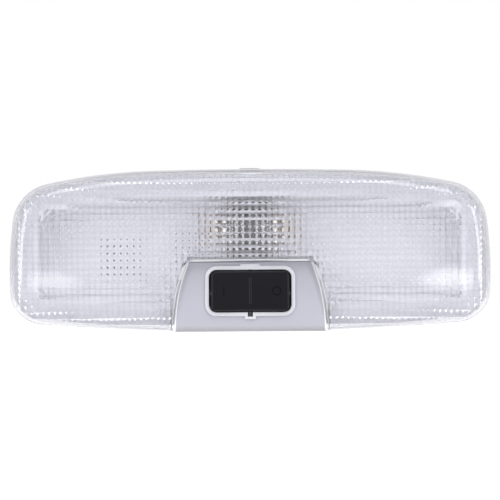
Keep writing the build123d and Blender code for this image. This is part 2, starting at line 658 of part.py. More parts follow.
# Each strip: flat runs on the back of the tray as (x from, x to, z from, z to)
half_strip = STRIP_WIDTH / 2
half_blade = BLADE_WIDTH / 2
blade_xs = [SOCKET_X - BLADE_PITCH, SOCKET_X, SOCKET_X + BLADE_PITCH]
blade_top = SOCKET_Z + STRIP_THICKNESS / 2
blade_bottom = SOCKET_Z - STRIP_THICKNESS / 2
contact_half = CONTACT_WIDTH / 2
door_run_z = DOOR_TONGUE_Z + half_strip
ground_run_z = GROUND_TONGUE_Z + half_strip
return_x = -CONTACT_X - half_strip
feed_runs = [
    (CONTACT_X, CONTACT_X + STRIP_WIDTH, BULB_Z - contact_half, FEED_Z + half_strip),
    (CONTACT_X, blade_xs[0] + half_blade, FEED_Z - half_strip, FEED_Z + half_strip),
    (blade_xs[0] - half_blade, blade_xs[0] + half_blade, blade_bottom, FEED_Z + half_strip),
]
return_runs = [
    (-CONTACT_X - STRIP_WIDTH, -CONTACT_X, ROCKER_Z - LEAF_WIDTH / 2, BULB_Z + contact_half),
    (
        -CONTACT_X - STRIP_WIDTH,
        RETURN_TONGUE_X + STRIP_THICKNESS,
        ROCKER_Z - LEAF_WIDTH / 2,
        ROCKER_Z + LEAF_WIDTH / 2,
    ),
]
door_runs = [
    (blade_xs[1] - half_blade, blade_xs[1] + half_blade, door_run_z - half_strip, blade_top),
    (-WIPER_WIDTH, blade_xs[1] + half_blade, door_run_z - half_strip, door_run_z + half_strip),
]
ground_runs = [
    (blade_xs[2] - half_blade, blade_xs[2] + half_blade, ground_run_z - half_strip, blade_top),
    (
        GROUND_TONGUE_X - WIPER_WIDTH,
        blade_xs[2] + half_blade,
        ground_run_z - half_strip,
        ground_run_z + half_strip,
    ),
]
feed_stakes = [(x, FEED_Z) for x in FEED_STAKES]
return_stakes = [(return_x, z) for z in RETURN_STAKES]
door_stakes = [(x, door_run_z) for x in DOOR_STAKES]
ground_stakes = [(x, ground_run_z) for x in GROUND_STAKES]

# Upright tongues, as (x from, x to, z from, z to, top depth)
feed_contact = (CONTACT_X, CONTACT_X + STRIP_THICKNESS, BULB_Z - contact_half, BULB_Z + contact_half)
return_contact = (-CONTACT_X - STRIP_THICKNESS, -CONTACT_X, BULB_Z - contact_half, BULB_Z + contact_half)
return_tongue = (
    RETURN_TONGUE_X,
    RETURN_TONGUE_X + STRIP_THICKNESS,
    ROCKER_Z - LEAF_WIDTH / 2,
    ROCKER_Z + LEAF_WIDTH / 2,
)
door_tongue = (-WIPER_WIDTH / 2, WIPER_WIDTH / 2, DOOR_TONGUE_Z, DOOR_TONGUE_Z + STRIP_THICKNESS)
ground_tongue = (
    GROUND_TONGUE_X - WIPER_WIDTH / 2,
    GROUND_TONGUE_X + WIPER_WIDTH / 2,
    GROUND_TONGUE_Z - STRIP_THICKNESS,
    GROUND_TONGUE_Z,
)
all_tongues = [feed_contact, return_contact, return_tongue, door_tongue, ground_tongue]
contact_top = BULB_DEPTH + CONTACT_RISE


def lay_runs(runs, stakes):
    """The flat of a strip on the back of the tray with its stake holes, in the current part."""
    for x_from, x_to, z_from, z_to in runs:
        block((x_from, x_to), (STRIP_BACK, BACK), (z_from, z_to))
    for x, z in stakes:
        square_post(x, z, (STRIP_BACK - 1, BACK + 1), STAKE_WIDTH + 2 * STRIP_CLEARANCE, Mode.SUBTRACT)


def raise_tongue(tongue, top):
    """A tongue bent up from a strip and through the tray's floor, in the current part."""
    block(tongue[0:2], (STRIP_BACK, top), tongue[2:4])


def raise_blade(x):
    """A connector blade bent back from a strip, in the current part."""
    block((x - half_blade, x + half_blade), (BACK - BLADE_LENGTH, BACK), (blade_bottom, blade_top))


def pierce_contact():
    """The holes that hold the cones of the bulb's caps, in the current part."""
    with BuildSketch(Plane.YZ) as section:
        with Locations((-BULB_DEPTH, BULB_Z)):
            Circle(CONTACT_HOLE_RADIUS)
    extrude(section.sketch, amount=BULB_LENGTH, both=True, mode=Mode.SUBTRACT)


# Housing: flange, drafted tray and switch well, with the fixings and the wiring socket on its back
with BuildPart() as switch_well:
    with BuildSketch(face_plane(FLOOR)):
        add(panel_shape(-WELL_INSET))
        add(panel_shape(-WELL_INSET - WELL_WALL), mode=Mode.SUBTRACT)
    extrude(amount=FLANGE_THICKNESS - FLOOR)
    with BuildSketch(face_plane(LENS_REAR)):
        add(panel_shape(PANEL_GAP + NOTCH_WALL + LEDGE_MARGIN))
        add(panel_shape(-WELL_INSET - WELL_WALL), mode=Mode.SUBTRACT)
        with Locations((0, LEDGE_TOP_Z)):
            Rectangle(
                4 * PANEL_BOTTOM_HALF,
                -4 * PANEL_BOTTOM_Z,
                align=(Align.CENTER, Align.MAX),
                mode=Mode.INTERSECT,
            )
    extrude(amount=FLANGE_THICKNESS - LENS_REAR)
    add(tray_form(WELL_BITE, BACK), mode=Mode.INTERSECT)
    for side in (-1, 1):
        window_half = LEG_WIDTH / 2 + SLOT_CLEARANCE
        window_x = (side * LEG_X - window_half, side * LEG_X + window_half)
        window_depth = (LEG_REAR - SLOT_CLEARANCE, LEG_REAR + LEG_BARB_LENGTH + SLOT_CLEARANCE)
        block(window_x, window_depth, (WELL_TOP_INNER_Z - 1, PANEL_TOP_Z + 1), Mode.SUBTRACT)

socket_half_x = SOCKET_WIDTH / 2 + SOCKET_WALL
socket_half_z = SOCKET_HEIGHT / 2 + SOCKET_WALL
with BuildPart() as housing:
    add(tray_form(0, BACK))
    chamfer(housing.faces().sort_by(Axis.Y)[-1].edges(), TRAY_EDGE_CHAMFER)
    with BuildSketch(face_plane(0)):
        add(inset_outline(FLANGE_INSET))
    extrude(amount=FLANGE_THICKNESS)
    for side in (-1, 1):
        hook_x = (side * HOOK_X - HOOK_WIDTH / 2, side * HOOK_X + HOOK_WIDTH / 2)
        hook_root = BOTTOM_Z + TRAY_INSET
        block(hook_x, (HOOK_FRONT - HOOK_THICKNESS, HOOK_FRONT), (hook_root - HOOK_REACH, hook_root + 3))
    depth_rod(PEG_X, PEG_Z, (BACK - PEG_LENGTH, FLOOR - 1), PEG_RADIUS)
    for x in RIB_X:
        rib_x = (x - RIB_THICKNESS / 2, x + RIB_THICKNESS / 2)
        block(rib_x, (BACK - RIB_HEIGHT, FLOOR - 1), (RIB_Z - RIB_LENGTH / 2, RIB_Z + RIB_LENGTH / 2))
    with BuildSketch(face_plane(BACK - SOCKET_LENGTH)):
        with Locations((SOCKET_X, SOCKET_Z)):
            RectangleRounded(2 * socket_half_x, 2 * socket_half_z, SOCKET_CORNER_RADIUS + SOCKET_WALL)
            RectangleRounded(SOCKET_WIDTH, SOCKET_HEIGHT, SOCKET_CORNER_RADIUS, mode=Mode.SUBTRACT)
    extrude(amount=SOCKET_LENGTH + 1)
    add(tray_form(TRAY_WALL, FLOOR), mode=Mode.SUBTRACT)
    add(switch_well.part)
    for side in (-1, 1):
        post_x = (side * (LEAF_HALF - POST_LENGTH), side * LEAF_HALF)
        block(post_x, (FLOOR - 1, LEAF_SEAT), (ROCKER_Z - LEAF_WIDTH / 2, ROCKER_Z + LEAF_WIDTH / 2))
        pin_x = side * (LEAF_HALF - POST_LENGTH / 2)
        depth_rod(pin_x, ROCKER_Z, (LEAF_SEAT - 1, LEAF_SEAT + PIN_HEIGHT), PIN_RADIUS)
    for x, z in feed_stakes + return_stakes + door_stakes + ground_stakes:
        square_post(x, z, (STRIP_BACK, FLOOR - 1), STAKE_WIDTH)
        square_post(x, z, (STRIP_BACK - STAKE_HEAD_HEIGHT, STRIP_BACK), STAKE_HEAD_WIDTH)
    depth_rod(PEG_X, PEG_Z, (BACK - PEG_LENGTH + PEG_END, FLOOR + 1), PEG_BORE_RADIUS, Mode.SUBTRACT)
    depth_rod(PORT_X, PORT_Z, (BACK - 1, FLOOR + 1), PORT_RADIUS, Mode.SUBTRACT)
    for tongue in all_tongues:
        slot_x = (tongue[0] - SLOT_CLEARANCE, tongue[1] + SLOT_CLEARANCE)
        slot_z = (tongue[2] - SLOT_CLEARANCE, tongue[3] + SLOT_CLEARANCE)
        block(slot_x, (BACK - 1, FLOOR + 1), slot_z, Mode.SUBTRACT)
    gate_depth = (STRIP_BACK - SLOT_CLEARANCE, BACK)
    gate_half = half_blade + SLOT_CLEARANCE
    socket_top_z = (SOCKET_Z + SOCKET_HEIGHT / 2 - 1, SOCKET_Z + socket_half_z + 1)
    socket_bottom_z = (SOCKET_Z - socket_half_z - 1, SOCKET_Z - SOCKET_HEIGHT / 2 + 1)
    block((blade_xs[0] - gate_half, blade_xs[0] + gate_half), gate_depth, socket_top_z, Mode.SUBTRACT)
    block((blade_xs[1] - gate_half, blade_xs[1] + gate_half), gate_depth, socket_bottom_z, Mode.SUBTRACT)
    block((blade_xs[2] - gate_half, blade_xs[2] + gate_half), gate_depth, socket_bottom_z, Mode.SUBTRACT)
    keyway_x = (SOCKET_X - KEYWAY_WIDTH / 2, SOCKET_X + KEYWAY_WIDTH / 2)
    keyway_depth = (BACK - SOCKET_LENGTH - 1, BACK - SOCKET_LENGTH + KEYWAY_LENGTH)
    block(keyway_x, keyway_depth, socket_top_z, Mode.SUBTRACT)
    clip_slot_x = (-CLIP_WIDTH / 2 - SLOT_CLEARANCE, CLIP_WIDTH / 2 + SLOT_CLEARANCE)
    clip_slot_half = CLIP_THICKNESS / 2 + SLOT_CLEARANCE
    clip_slot_depth = (CLIP_FRONT - clip_slot_half - CLIP_BEND_RADIUS, CLIP_FRONT + clip_slot_half)
    clip_slot_z = (tray_top_z(TRAY_WALL) - 1, tray_top_z(0) + 1)
    block(clip_slot_x, clip_slot_depth, clip_slot_z, Mode.SUBTRACT)
    for latch in TOP_LATCHES + BOTTOM_LATCHES + PANEL_LATCHES:
        rebate_depth = (-1, LENS_REAR + LATCH_THICKNESS + LATCH_CLEARANCE)
        rebate_inset = LENS_WALL + LATCH_REACH + LATCH_CLEARANCE
        latch_block(latch, rebate_depth, -1, rebate_inset, LATCH_CLEARANCE, Mode.SUBTRACT)
housing.part.label = "housing"
export_step(housing.part, "parts/housing.step")

# Feed strip: from the first blade to the right-hand end of the bulb
with BuildPart() as feed_strip:
    lay_runs(feed_runs, feed_stakes)
    raise_tongue(feed_contact, contact_top)
    raise_blade(blade_xs[0])
    pierce_contact()
feed_strip.part.label = "feed_strip"
export_step(feed_strip.part, "parts/feed_strip.step")

# Return strip: from the left-hand end of the bulb to the detent leaf
with BuildPart() as return_strip:
    lay_runs(return_runs, return_stakes)
    raise_tongue(return_contact, contact_top)
    raise_tongue(return_tongue, LEAF_SEAT)
    pierce_contact()
return_strip.part.label = "return_strip"
export_step(return_strip.part, "parts/return_strip.step")

# Door strip: from the middle blade to the tongue that the wiper meets with the key level
with BuildPart() as door_strip:
    lay_runs(door_runs, door_stakes)
    raise_tongue(door_tongue, TONGUE_TOP)
    raise_blade(blade_xs[1])
door_strip.part.label = "door_strip"
export_step(door_strip.part, "parts/door_strip.step")

# Ground strip: from the last blade to the tongue that the wiper meets with the key's "on" end down
with BuildPart() as ground_strip:
    lay_runs(ground_runs, ground_stakes)
    raise_tongue(ground_tongue, TONGUE_TOP)
    raise_blade(blade_xs[2])
ground_strip.part.label = "ground_strip"
export_step(ground_strip.part, "parts/ground_strip.step")

# Heat shield: bright trough round the back of the bulb, on a flat pad
with BuildPart() as heat_shield:
    with BuildSketch(Plane.YZ):
        with Locations((-BULB_DEPTH, BULB_Z)):
            Circle(SHIELD_RADIUS)
        with Locations((-FLOOR, BULB_Z)):
            pad_height = BULB_DEPTH - FLOOR - SHIELD_RADIUS + 1
            Rectangle(pad_height, SHIELD_PAD_WIDTH, align=(Align.MAX, Align.CENTER))
        with Locations((-BULB_DEPTH, BULB_Z)):
            Circle(SHIELD_RADIUS - SHIELD_THICKNESS, mode=Mode.SUBTRACT)
            front_cut = (Align.MAX, Align.CENTER)
            Rectangle(2 * SHIELD_RADIUS, 3 * SHIELD_RADIUS, align=front_cut, mode=Mode.SUBTRACT)
        with Locations((-BULB_DEPTH, BULB_Z + SHIELD_TOP_CUT)):
            top_cut = (Align.CENTER, Align.MIN)
            Rectangle(4 * SHIELD_RADIUS, SHIELD_RADIUS, align=top_cut, mode=Mode.SUBTRACT)
    extrude(amount=SHIELD_HALF_WIDTH, both=True)
heat_shield.part.label = "heat_shield"
export_step(heat_shield.part, "parts/heat_shield.step")

# Bulb glass: thin tube drawn in to a thicker neck at each end
glass_outside = [
    (-BULB_GLASS_HALF, BULB_NECK_RADIUS),
    (-BULB_NECK_X, BULB_NECK_RADIUS),
    (-BULB_BODY_X, BULB_RADIUS),
    (BULB_BODY_X, BULB_RADIUS),
    (BULB_NECK_X, BULB_NECK_RADIUS),
    (BULB_GLASS_HALF, BULB_NECK_RADIUS),
]
glass_inside = [
    (BULB_GLASS_HALF, BULB_NECK_RADIUS - BULB_WALL),
    (BULB_BODY_X, BULB_NECK_RADIUS - BULB_WALL),
    (BULB_BODY_X, BULB_RADIUS - BULB_WALL),
    (-BULB_BODY_X, BULB_RADIUS - BULB_WALL),
    (-BULB_BODY_X, BULB_NECK_RADIUS - BULB_WALL),
    (-BULB_GLASS_HALF, BULB_NECK_RADIUS - BULB_WALL),
]
with BuildPart() as bulb_glass:
    with BuildSketch(BULB_PLANE):
        with BuildLine():
            Polyline(*glass_outside, *glass_inside, close=True)
        make_face()
    revolve(axis=BULB_AXIS)
bulb_glass.part.label = "bulb_glass"
export_step(bulb_glass.part, "parts/bulb_glass.step")

# Bulb caps: cups over the necks, each ending in a cone
with BuildPart() as bulb_cap_right:
    with BuildSketch(BULB_PLANE):
        with BuildLine():
            Polyline(
                (CAP_START_X, BULB_NECK_RADIUS + CAP_GAP),
                (CAP_SEAT_X, BULB_NECK_RADIUS + CAP_GAP),
                (CAP_SEAT_X, 0),
                (BULB_LENGTH / 2, 0),
                (BULB_LENGTH / 2, CAP_TIP_RADIUS),
                (CAP_CONE_X, CAP_RADIUS),
                (CAP_START_X, CAP_RADIUS),
                close=True,
            )
        make_face()
    revolve(axis=BULB_AXIS)
bulb_cap_right.part.label = "bulb_cap_right"
export_step(bulb_cap_right.part, "parts/bulb_cap_right.step")

with BuildPart() as bulb_cap_left:
    add(mirror(bulb_cap_right.part, about=Plane.YZ))
bulb_cap_left.part.label = "bulb_cap_left"
export_step(bulb_cap_left.part, "parts/bulb_cap_left.step")

# Filament: a plain rod between the caps, as thick as the wound coil
with BuildPart() as bulb_filament:
    with BuildSketch(Plane.YZ):
        with Locations((-BULB_DEPTH, BULB_Z)):
            Circle(COIL_RADIUS)
    extrude(amount=CAP_SEAT_X, both=True)
bulb_filament.part.label = "bulb_filament"
export_step(bulb_filament.part, "parts/bulb_filament.step")

# Roof clip: spring strip from the inside of the top wall, out through a slot and over a crest
leg_inset = TRAY_WALL + CLIP_GAP + CLIP_THICKNESS / 2
with BuildPart() as roof_clip:
    with BuildSketch(Plane.YZ):
        with BuildLine() as clip_path:
            Polyline(
                (-CLIP_LEG_END, tray_top_z(leg_inset)),
                (-CLIP_FRONT, tray_top_z(leg_inset)),
                (-CLIP_FRONT, CLIP_NECK_Z),
                (-CLIP_CREST, CLIP_CREST_Z),
                (-CLIP_TAIL_END, tray_top_z(-CLIP_GAP - CLIP_THICKNESS)),
            )
            fillet(clip_path.vertices().filter_by(lambda v: -CLIP_LEG_END > v.X), CLIP_BEND_RADIUS)
        trace(line_width=CLIP_THICKNESS)
    extrude(amount=CLIP_WIDTH / 2, both=True)
roof_clip.part.label = "roof_clip"
export_step(roof_clip.part, "parts/roof_clip.step")
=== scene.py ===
import math

import bmesh
import bpy
from mathutils import Matrix, Vector


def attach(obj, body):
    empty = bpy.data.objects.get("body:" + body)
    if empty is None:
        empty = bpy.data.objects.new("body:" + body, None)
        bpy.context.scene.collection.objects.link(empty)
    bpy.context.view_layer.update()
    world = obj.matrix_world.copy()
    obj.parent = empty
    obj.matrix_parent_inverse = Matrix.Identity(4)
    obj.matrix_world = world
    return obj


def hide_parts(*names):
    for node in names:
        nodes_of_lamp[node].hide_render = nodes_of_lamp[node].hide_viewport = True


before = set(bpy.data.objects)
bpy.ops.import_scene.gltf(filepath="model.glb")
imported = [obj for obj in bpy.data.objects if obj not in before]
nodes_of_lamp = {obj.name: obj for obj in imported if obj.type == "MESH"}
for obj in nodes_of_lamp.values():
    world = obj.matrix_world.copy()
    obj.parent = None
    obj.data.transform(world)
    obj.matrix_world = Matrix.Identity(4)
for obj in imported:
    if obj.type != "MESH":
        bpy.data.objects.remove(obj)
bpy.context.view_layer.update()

# Housing: the white tray that stands in the roof, injection moulded in polypropylene with a satin
# finish. Everything else clips, plugs or is staked into it, and it shows through the lens.
MM = 0.001  # sizes are in millimetres, and Blender works in metres
HOUSING_WHITE = (0.88, 0.88, 0.90)
HOUSING_SHADE = (0.84, 0.84, 0.865)
FLOW_SCALE = 38.0
GRAIN_POLISH = 0.05
GRAIN_STRENGTH = 0.4


def new_finish(name):
    """A material with nodes, and its shader."""
    material = bpy.data.materials.new(name)
    material.use_nodes = True
    return material, material.node_tree.nodes["Principled BSDF"]


def add_node(material, kind, inputs):
    """Add a shader node to a finish, or to the world, and set some of its inputs."""
    node = material.node_tree.nodes.new(kind)
    for socket, value in inputs.items():
        node.inputs[socket].default_value = value
    return node


def colour_mix(material, first, second):
    """A node that goes from one colour to another."""
    mix = material.node_tree.nodes.new("ShaderNodeMix")
    mix.data_type = "RGBA"
    mix.inputs["A"].default_value = (*first, 1)
    mix.inputs["B"].default_value = (*second, 1)
    return mix


def coloured_between(material, share, first, second):
    """Colour a finish from one colour to another by a share."""
    mix = colour_mix(material, first, second)
    shader = material.node_tree.nodes["Principled BSDF"]
    material.node_tree.links.new(share, mix.inputs["Factor"])
    material.node_tree.links.new(mix.outputs["Result"], shader.inputs["Base Color"])


def moulded_plastic(name, pale, shade, roughness, grain_size, grain_height):
    """A moulded finish: two close shades that flow into each other, and a fine grain."""
    material, shader = new_finish(name)
    links = material.node_tree.links
    place = add_node(material, "ShaderNodeTexCoord", {})
    flow = add_node(material, "ShaderNodeTexNoise", {"Scale": FLOW_SCALE, "Detail": 3.0})
    grain = add_node(material, "ShaderNodeTexNoise", {"Scale": 1 / (grain_size * MM), "Detail": 2.0})
    polish_ends = {"To Min": roughness - GRAIN_POLISH, "To Max": roughness + GRAIN_POLISH}
    polish = add_node(material, "ShaderNodeMapRange", polish_ends)
    relief_depth = {"Strength": GRAIN_STRENGTH, "Distance": grain_height * MM}
    relief = add_node(material, "ShaderNodeBump", relief_depth)
    links.new(place.outputs["Object"], flow.inputs["Vector"])
    links.new(place.outputs["Object"], grain.inputs["Vector"])
    coloured_between(material, flow.outputs["Fac"], shade, pale)
    links.new(grain.outputs["Fac"], polish.inputs["Value"])
    links.new(polish.outputs["Result"], shader.inputs["Roughness"])
    links.new(grain.outputs["Fac"], relief.inputs["Height"])
    links.new(relief.outputs["Normal"], shader.inputs["Normal"])
    return material


def finish_node(node, material):
    """Give a piece of the CAD model its finish."""
    mesh = nodes_of_lamp[node].data
    mesh.materials.clear()
    mesh.materials.append(material)


housing_plastic = moulded_plastic(
    "housing_plastic", HOUSING_WHITE, HOUSING_SHADE, roughness=0.38, grain_size=0.6, grain_height=0.03
)
finish_node("housing", housing_plastic)

# Conductor strips: stamped from brass sheet, bent up through the floor of the tray and staked to its
# back. Two end in the bulb's contacts and three in the blades of the wiring socket.
BRASS = (0.70, 0.57, 0.42)
BRASS_DULL = (0.58, 0.46, 0.33)
STREAK_SCALE = 900.0
STREAK_STRENGTH = 0.3
STREAK_HEIGHT = 0.02
STREAK_SMOOTHER = 0.06
STREAK_ROUGHER = 0.10
TARNISH_SCALE = 160.0


def rolled_metal(name, bright, dull, roughness, streak_direction):
    """A rolled metal finish: fine streaks along one direction, and a cloudy tarnish."""
    material, shader = new_finish(name)
    links = material.node_tree.links
    shader.inputs["Metallic"].default_value = 1.0
    place = add_node(material, "ShaderNodeTexCoord", {})
    stretch = add_node(material, "ShaderNodeMapping", {"Scale": streak_direction})
    streaks = add_node(material, "ShaderNodeTexNoise", {"Scale": STREAK_SCALE, "Detail": 3.0})
    tarnish = add_node(material, "ShaderNodeTexNoise", {"Scale": TARNISH_SCALE, "Detail": 4.0})
    polish_ends = {"To Min": roughness - STREAK_SMOOTHER, "To Max": roughness + STREAK_ROUGHER}
    polish = add_node(material, "ShaderNodeMapRange", polish_ends)
    relief_depth = {"Strength": STREAK_STRENGTH, "Distance": STREAK_HEIGHT * MM}
    relief = add_node(material, "ShaderNodeBump", relief_depth)
    links.new(place.outputs["Object"], stretch.inputs["Vector"])
    links.new(stretch.outputs["Vector"], streaks.inputs["Vector"])
    links.new(place.outputs["Object"], tarnish.inputs["Vector"])
    coloured_between(material, tarnish.outputs["Fac"], dull, bright)
    links.new(streaks.outputs["Fac"], polish.inputs["Value"])
    links.new(polish.outputs["Result"], shader.inputs["Roughness"])
    links.new(streaks.outputs["Fac"], relief.inputs["Height"])
    links.new(relief.outputs["Normal"], shader.inputs["Normal"])
    return material


strip_brass = rolled_metal(
    "strip_brass", BRASS, BRASS_DULL, roughness=0.28, streak_direction=(0.15, 1.0, 1.0)
)
for strip in ("feed_strip", "return_strip", "door_strip", "ground_strip"):
    finish_node(strip, strip_brass)

# Plugs: two grey rubber plugs, pushed into the spare wire port and the bore of the locating peg, whose
# dark grey is painted shade for the dark seen down these open bores. They are moulded with rounded
# ends and sit just below the floor of the tray.
SHADE_PLUG_GREY = (0.16, 0.16, 0.17)
SHADE_PLUG_GREY_DEEP = (0.11, 0.11, 0.12)
PORT_X = -24.4
PORT_Z = 1.4
PORT_PLUG_RADIUS = 1.97
PEG_X = -54.0
PEG_Z = -3.0
PEG_PLUG_RADIUS = 2.77
PLUG_MIDDLE_Y = 17.1
PLUG_LENGTH = 1.6
PLUG_ROUNDING = 0.35
PLUG_SEGMENTS = 40
SAME_PLACE = 0.001


def new_piece(name, shape, material, body):
    """Turn a bmesh drawn in millimetres into a finished piece of the lamp."""
    bmesh.ops.scale(shape, vec=(MM, MM, MM), verts=shape.verts)
    mesh = bpy.data.meshes.new(name)
    shape.to_mesh(mesh)
    shape.free()
    mesh.materials.append(material)
    piece = bpy.data.objects.new(name, mesh)
    bpy.context.scene.collection.objects.link(piece)
    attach(piece, body)
    return piece


def smooth_shade(piece, sharp_degrees):
    """Shade a piece smoothly, apart from its sharp edges."""
    for face in piece.data.polygons:
        face.use_smooth = True
    piece.data.set_sharp_from_angle(angle=math.radians(sharp_degrees))


def press_shade_plug(name, x, z, radius):
    """Press a round plug, dark grey as painted shade, into a bore of the tray's floor."""
    plug = bmesh.new()
    bmesh.ops.create_cone(
        plug, cap_ends=True, segments=PLUG_SEGMENTS, radius1=radius, radius2=radius, depth=PLUG_LENGTH
    )
    ends = [edge for edge in plug.edges if abs(edge.verts[0].co.z - edge.verts[1].co.z) < SAME_PLACE]
    bmesh.ops.bevel(
        plug, geom=ends, offset=PLUG_ROUNDING, segments=3, profile=0.5, affect="EDGES", material=-1
    )
    bmesh.ops.rotate(plug, verts=plug.verts, matrix=Matrix.Rotation(math.pi / 2, 3, "X"))
    bmesh.ops.translate(plug, verts=plug.verts, vec=(x, PLUG_MIDDLE_Y, z))
    piece = new_piece(name, plug, shade_plug_rubber, "lamp")
    smooth_shade(piece, sharp_degrees=40)


# Painted shade: the plugs' dark grey stands for the shade seen down the open bores.
shade_plug_rubber = moulded_plastic(
    "shade_plug_rubber", SHADE_PLUG_GREY, SHADE_PLUG_GREY_DEEP, roughness=0.7, grain_size=0.3, grain_height=0.02
)
press_shade_plug("port_shade_plug", PORT_X, PORT_Z, PORT_PLUG_RADIUS)
press_shade_plug("peg_shade_plug", PEG_X, PEG_Z, PEG_PLUG_RADIUS)

# Heat shield: a trough of bright rolled steel that stands behind the bulb on a flat pad and keeps its
# heat off the tray. It is bent from one strip, and the bulb has blued it behind the filament.
SHIELD_STEEL = (0.93, 0.93, 0.94)
SHIELD_STEEL_DULL = (0.86, 0.86, 0.87)
HEAT_TINT = (0.012, 0.010, 0.011)
HEAT_MARK_Z = 8.8
HEAT_MARK_CORE = 5.6
HEAT_MARK_REACH = 7.8


def ramp(material, socket, low, high, smooth=False):
    """A share that rises from 0 to 1 between two places, in millimetres, along a coordinate."""
    share = add_node(material, "ShaderNodeMapRange", {"From Min": low * MM, "From Max": high * MM})
    share.interpolation_type = "SMOOTHSTEP" if smooth else "LINEAR"
    material.node_tree.links.new(socket, share.inputs["Value"])
    return share.outputs["Result"]


def tinted(material, share, colour):
    """Lay a colour over a finish's own by a share."""
    links = material.node_tree.links
    base = material.node_tree.nodes["Principled BSDF"].inputs["Base Color"]
    mix = colour_mix(material, colour, colour)
    links.new(share, mix.inputs["Factor"])
    links.new(base.links[0].from_socket, mix.inputs["A"])
    links.new(mix.outputs["Result"], base)


shield_steel = rolled_metal(
    "shield_steel", SHIELD_STEEL, SHIELD_STEEL_DULL, roughness=0.30, streak_direction=(0.1, 1.0, 1.0)
)
shield_place = add_node(shield_steel, "ShaderNodeTexCoord", {})
mark_shift = {"Location": (0, 0, -HEAT_MARK_Z * MM), "Scale": (1, 0, 1)}
mark_middle = add_node(shield_steel, "ShaderNodeMapping", mark_shift)
mark_distance = add_node(shield_steel, "ShaderNodeVectorMath", {})
mark_distance.operation = "LENGTH"
shield_steel.node_tree.links.new(shield_place.outputs["Object"], mark_middle.inputs["Vector"])
shield_steel.node_tree.links.new(mark_middle.outputs["Vector"], mark_distance.inputs[0])
heat_mark = ramp(shield_steel, mark_distance.outputs["Value"], HEAT_MARK_REACH, HEAT_MARK_CORE, smooth=True)
tinted(shield_steel, heat_mark, HEAT_TINT)
finish_node("heat_shield", shield_steel)

# Roof clip: spring steel strip, bent to a leg, a crest and a tail. It hooks through a slot in the top
# wall of the tray and grips the edge of the roof's opening.
CLIP_STEEL = (0.52, 0.52, 0.54)
CLIP_STEEL_DULL = (0.43, 0.43, 0.45)
clip_steel = rolled_metal(
    "clip_steel", CLIP_STEEL, CLIP_STEEL_DULL, roughness=0.26, streak_direction=(1.0, 0.2, 0.2)
)
finish_node("roof_clip", clip_steel)

# Festoon bulb: a drawn glass tube closed by two nickel caps that are crimped on and end in cones. The
# filament is a tungsten coil between two straight leads, and use has darkened the glass round it.
GLASS_CLEAR = (0.98, 0.98, 0.98)
SOOT_GREY = (0.55, 0.54, 0.54)
TUNGSTEN = (0.30, 0.29, 0.28)
TUNGSTEN_DULL = (0.22, 0.21, 0.20)
NICKEL = (0.66, 0.64, 0.60)
NICKEL_DULL = (0.55, 0.53, 0.49)
BULB_PLACE = (0, 3.0, 9.0)
GLASS_HALF = 11.4
GLASS_OUTLINE = [
    (GLASS_HALF, 2.9),
    (9.9, 2.9),
    (9.2, 3.15),
    (8.6, 3.7),
    (8.1, 4.4),
    (7.4, 4.9),
    (6.4, 5.1),
]
GLASS_WALL = 0.55
GLASS_STEPS = 48
SOOT_CORE = 1.5
SOOT_REACH = 4.2
COIL_RADIUS = 0.45
COIL_HALF = 3.6
COIL_TURNS = 18
COIL_STEPS = 16
WIRE_RADIUS = 0.07
WIRE_SEGMENTS = 8
LEAD_RADIUS = 0.13
LEAD_SEGMENTS = 10


def clear_finish(name, roughness, refraction):
    """A clear finish that has no colour yet."""
    material, shader = new_finish(name)
    shader.inputs["Roughness"].default_value = roughness
    shader.inputs["IOR"].default_value = refraction
    shader.inputs["Transmission Weight"].default_value = 1.0
    return material


def coordinates(material):
    """The X, Y and Z of a point on the piece."""
    place = add_node(material, "ShaderNodeTexCoord", {})
    axes = add_node(material, "ShaderNodeSeparateXYZ", {})
    material.node_tree.links.new(place.outputs["Object"], axes.inputs["Vector"])
    return axes.outputs


def away_from(material, socket, middle):
    """The distance of one coordinate from a middle place, in millimetres."""
    shift = add_node(material, "ShaderNodeMath", {1: middle * MM})
    shift.operation = "SUBTRACT"
    size = add_node(material, "ShaderNodeMath", {})
    size.operation = "ABSOLUTE"
    material.node_tree.links.new(socket, shift.inputs[0])
    material.node_tree.links.new(shift.outputs["Value"], size.inputs[0])
    return size.outputs["Value"]


bulb_clear = clear_finish("bulb_clear", roughness=0.01, refraction=1.5)
bulb_side = away_from(bulb_clear, coordinates(bulb_clear)["X"], 0)
soot_share = ramp(bulb_clear, bulb_side, SOOT_REACH, SOOT_CORE, smooth=True)
coloured_between(bulb_clear, soot_share, GLASS_CLEAR, SOOT_GREY)
glass = bmesh.new()
outside = GLASS_OUTLINE + [(-x, radius) for x, radius in reversed(GLASS_OUTLINE)]
inside = [(x, radius - GLASS_WALL) for x, radius in reversed(outside)]
section = [glass.verts.new((x, 0, radius)) for x, radius in outside + inside]
for first, second in zip(section, section[1:] + section[:1]):
    glass.edges.new((first, second))
bmesh.ops.spin(
    glass,
    geom=glass.verts[:] + glass.edges[:],
    cent=(0, 0, 0),
    axis=(1, 0, 0),
    angle=math.tau,
    steps=GLASS_STEPS,
    use_merge=True,
)
bmesh.ops.remove_doubles(glass, verts=glass.verts, dist=SAME_PLACE)
bmesh.ops.recalc_face_normals(glass, faces=glass.faces)
bmesh.ops.translate(glass, verts=glass.verts, vec=BULB_PLACE)
bulb_glass = new_piece("bulb_glass_tube", glass, bulb_clear, "lamp")
smooth_shade(bulb_glass, sharp_degrees=50)
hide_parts("bulb_glass")

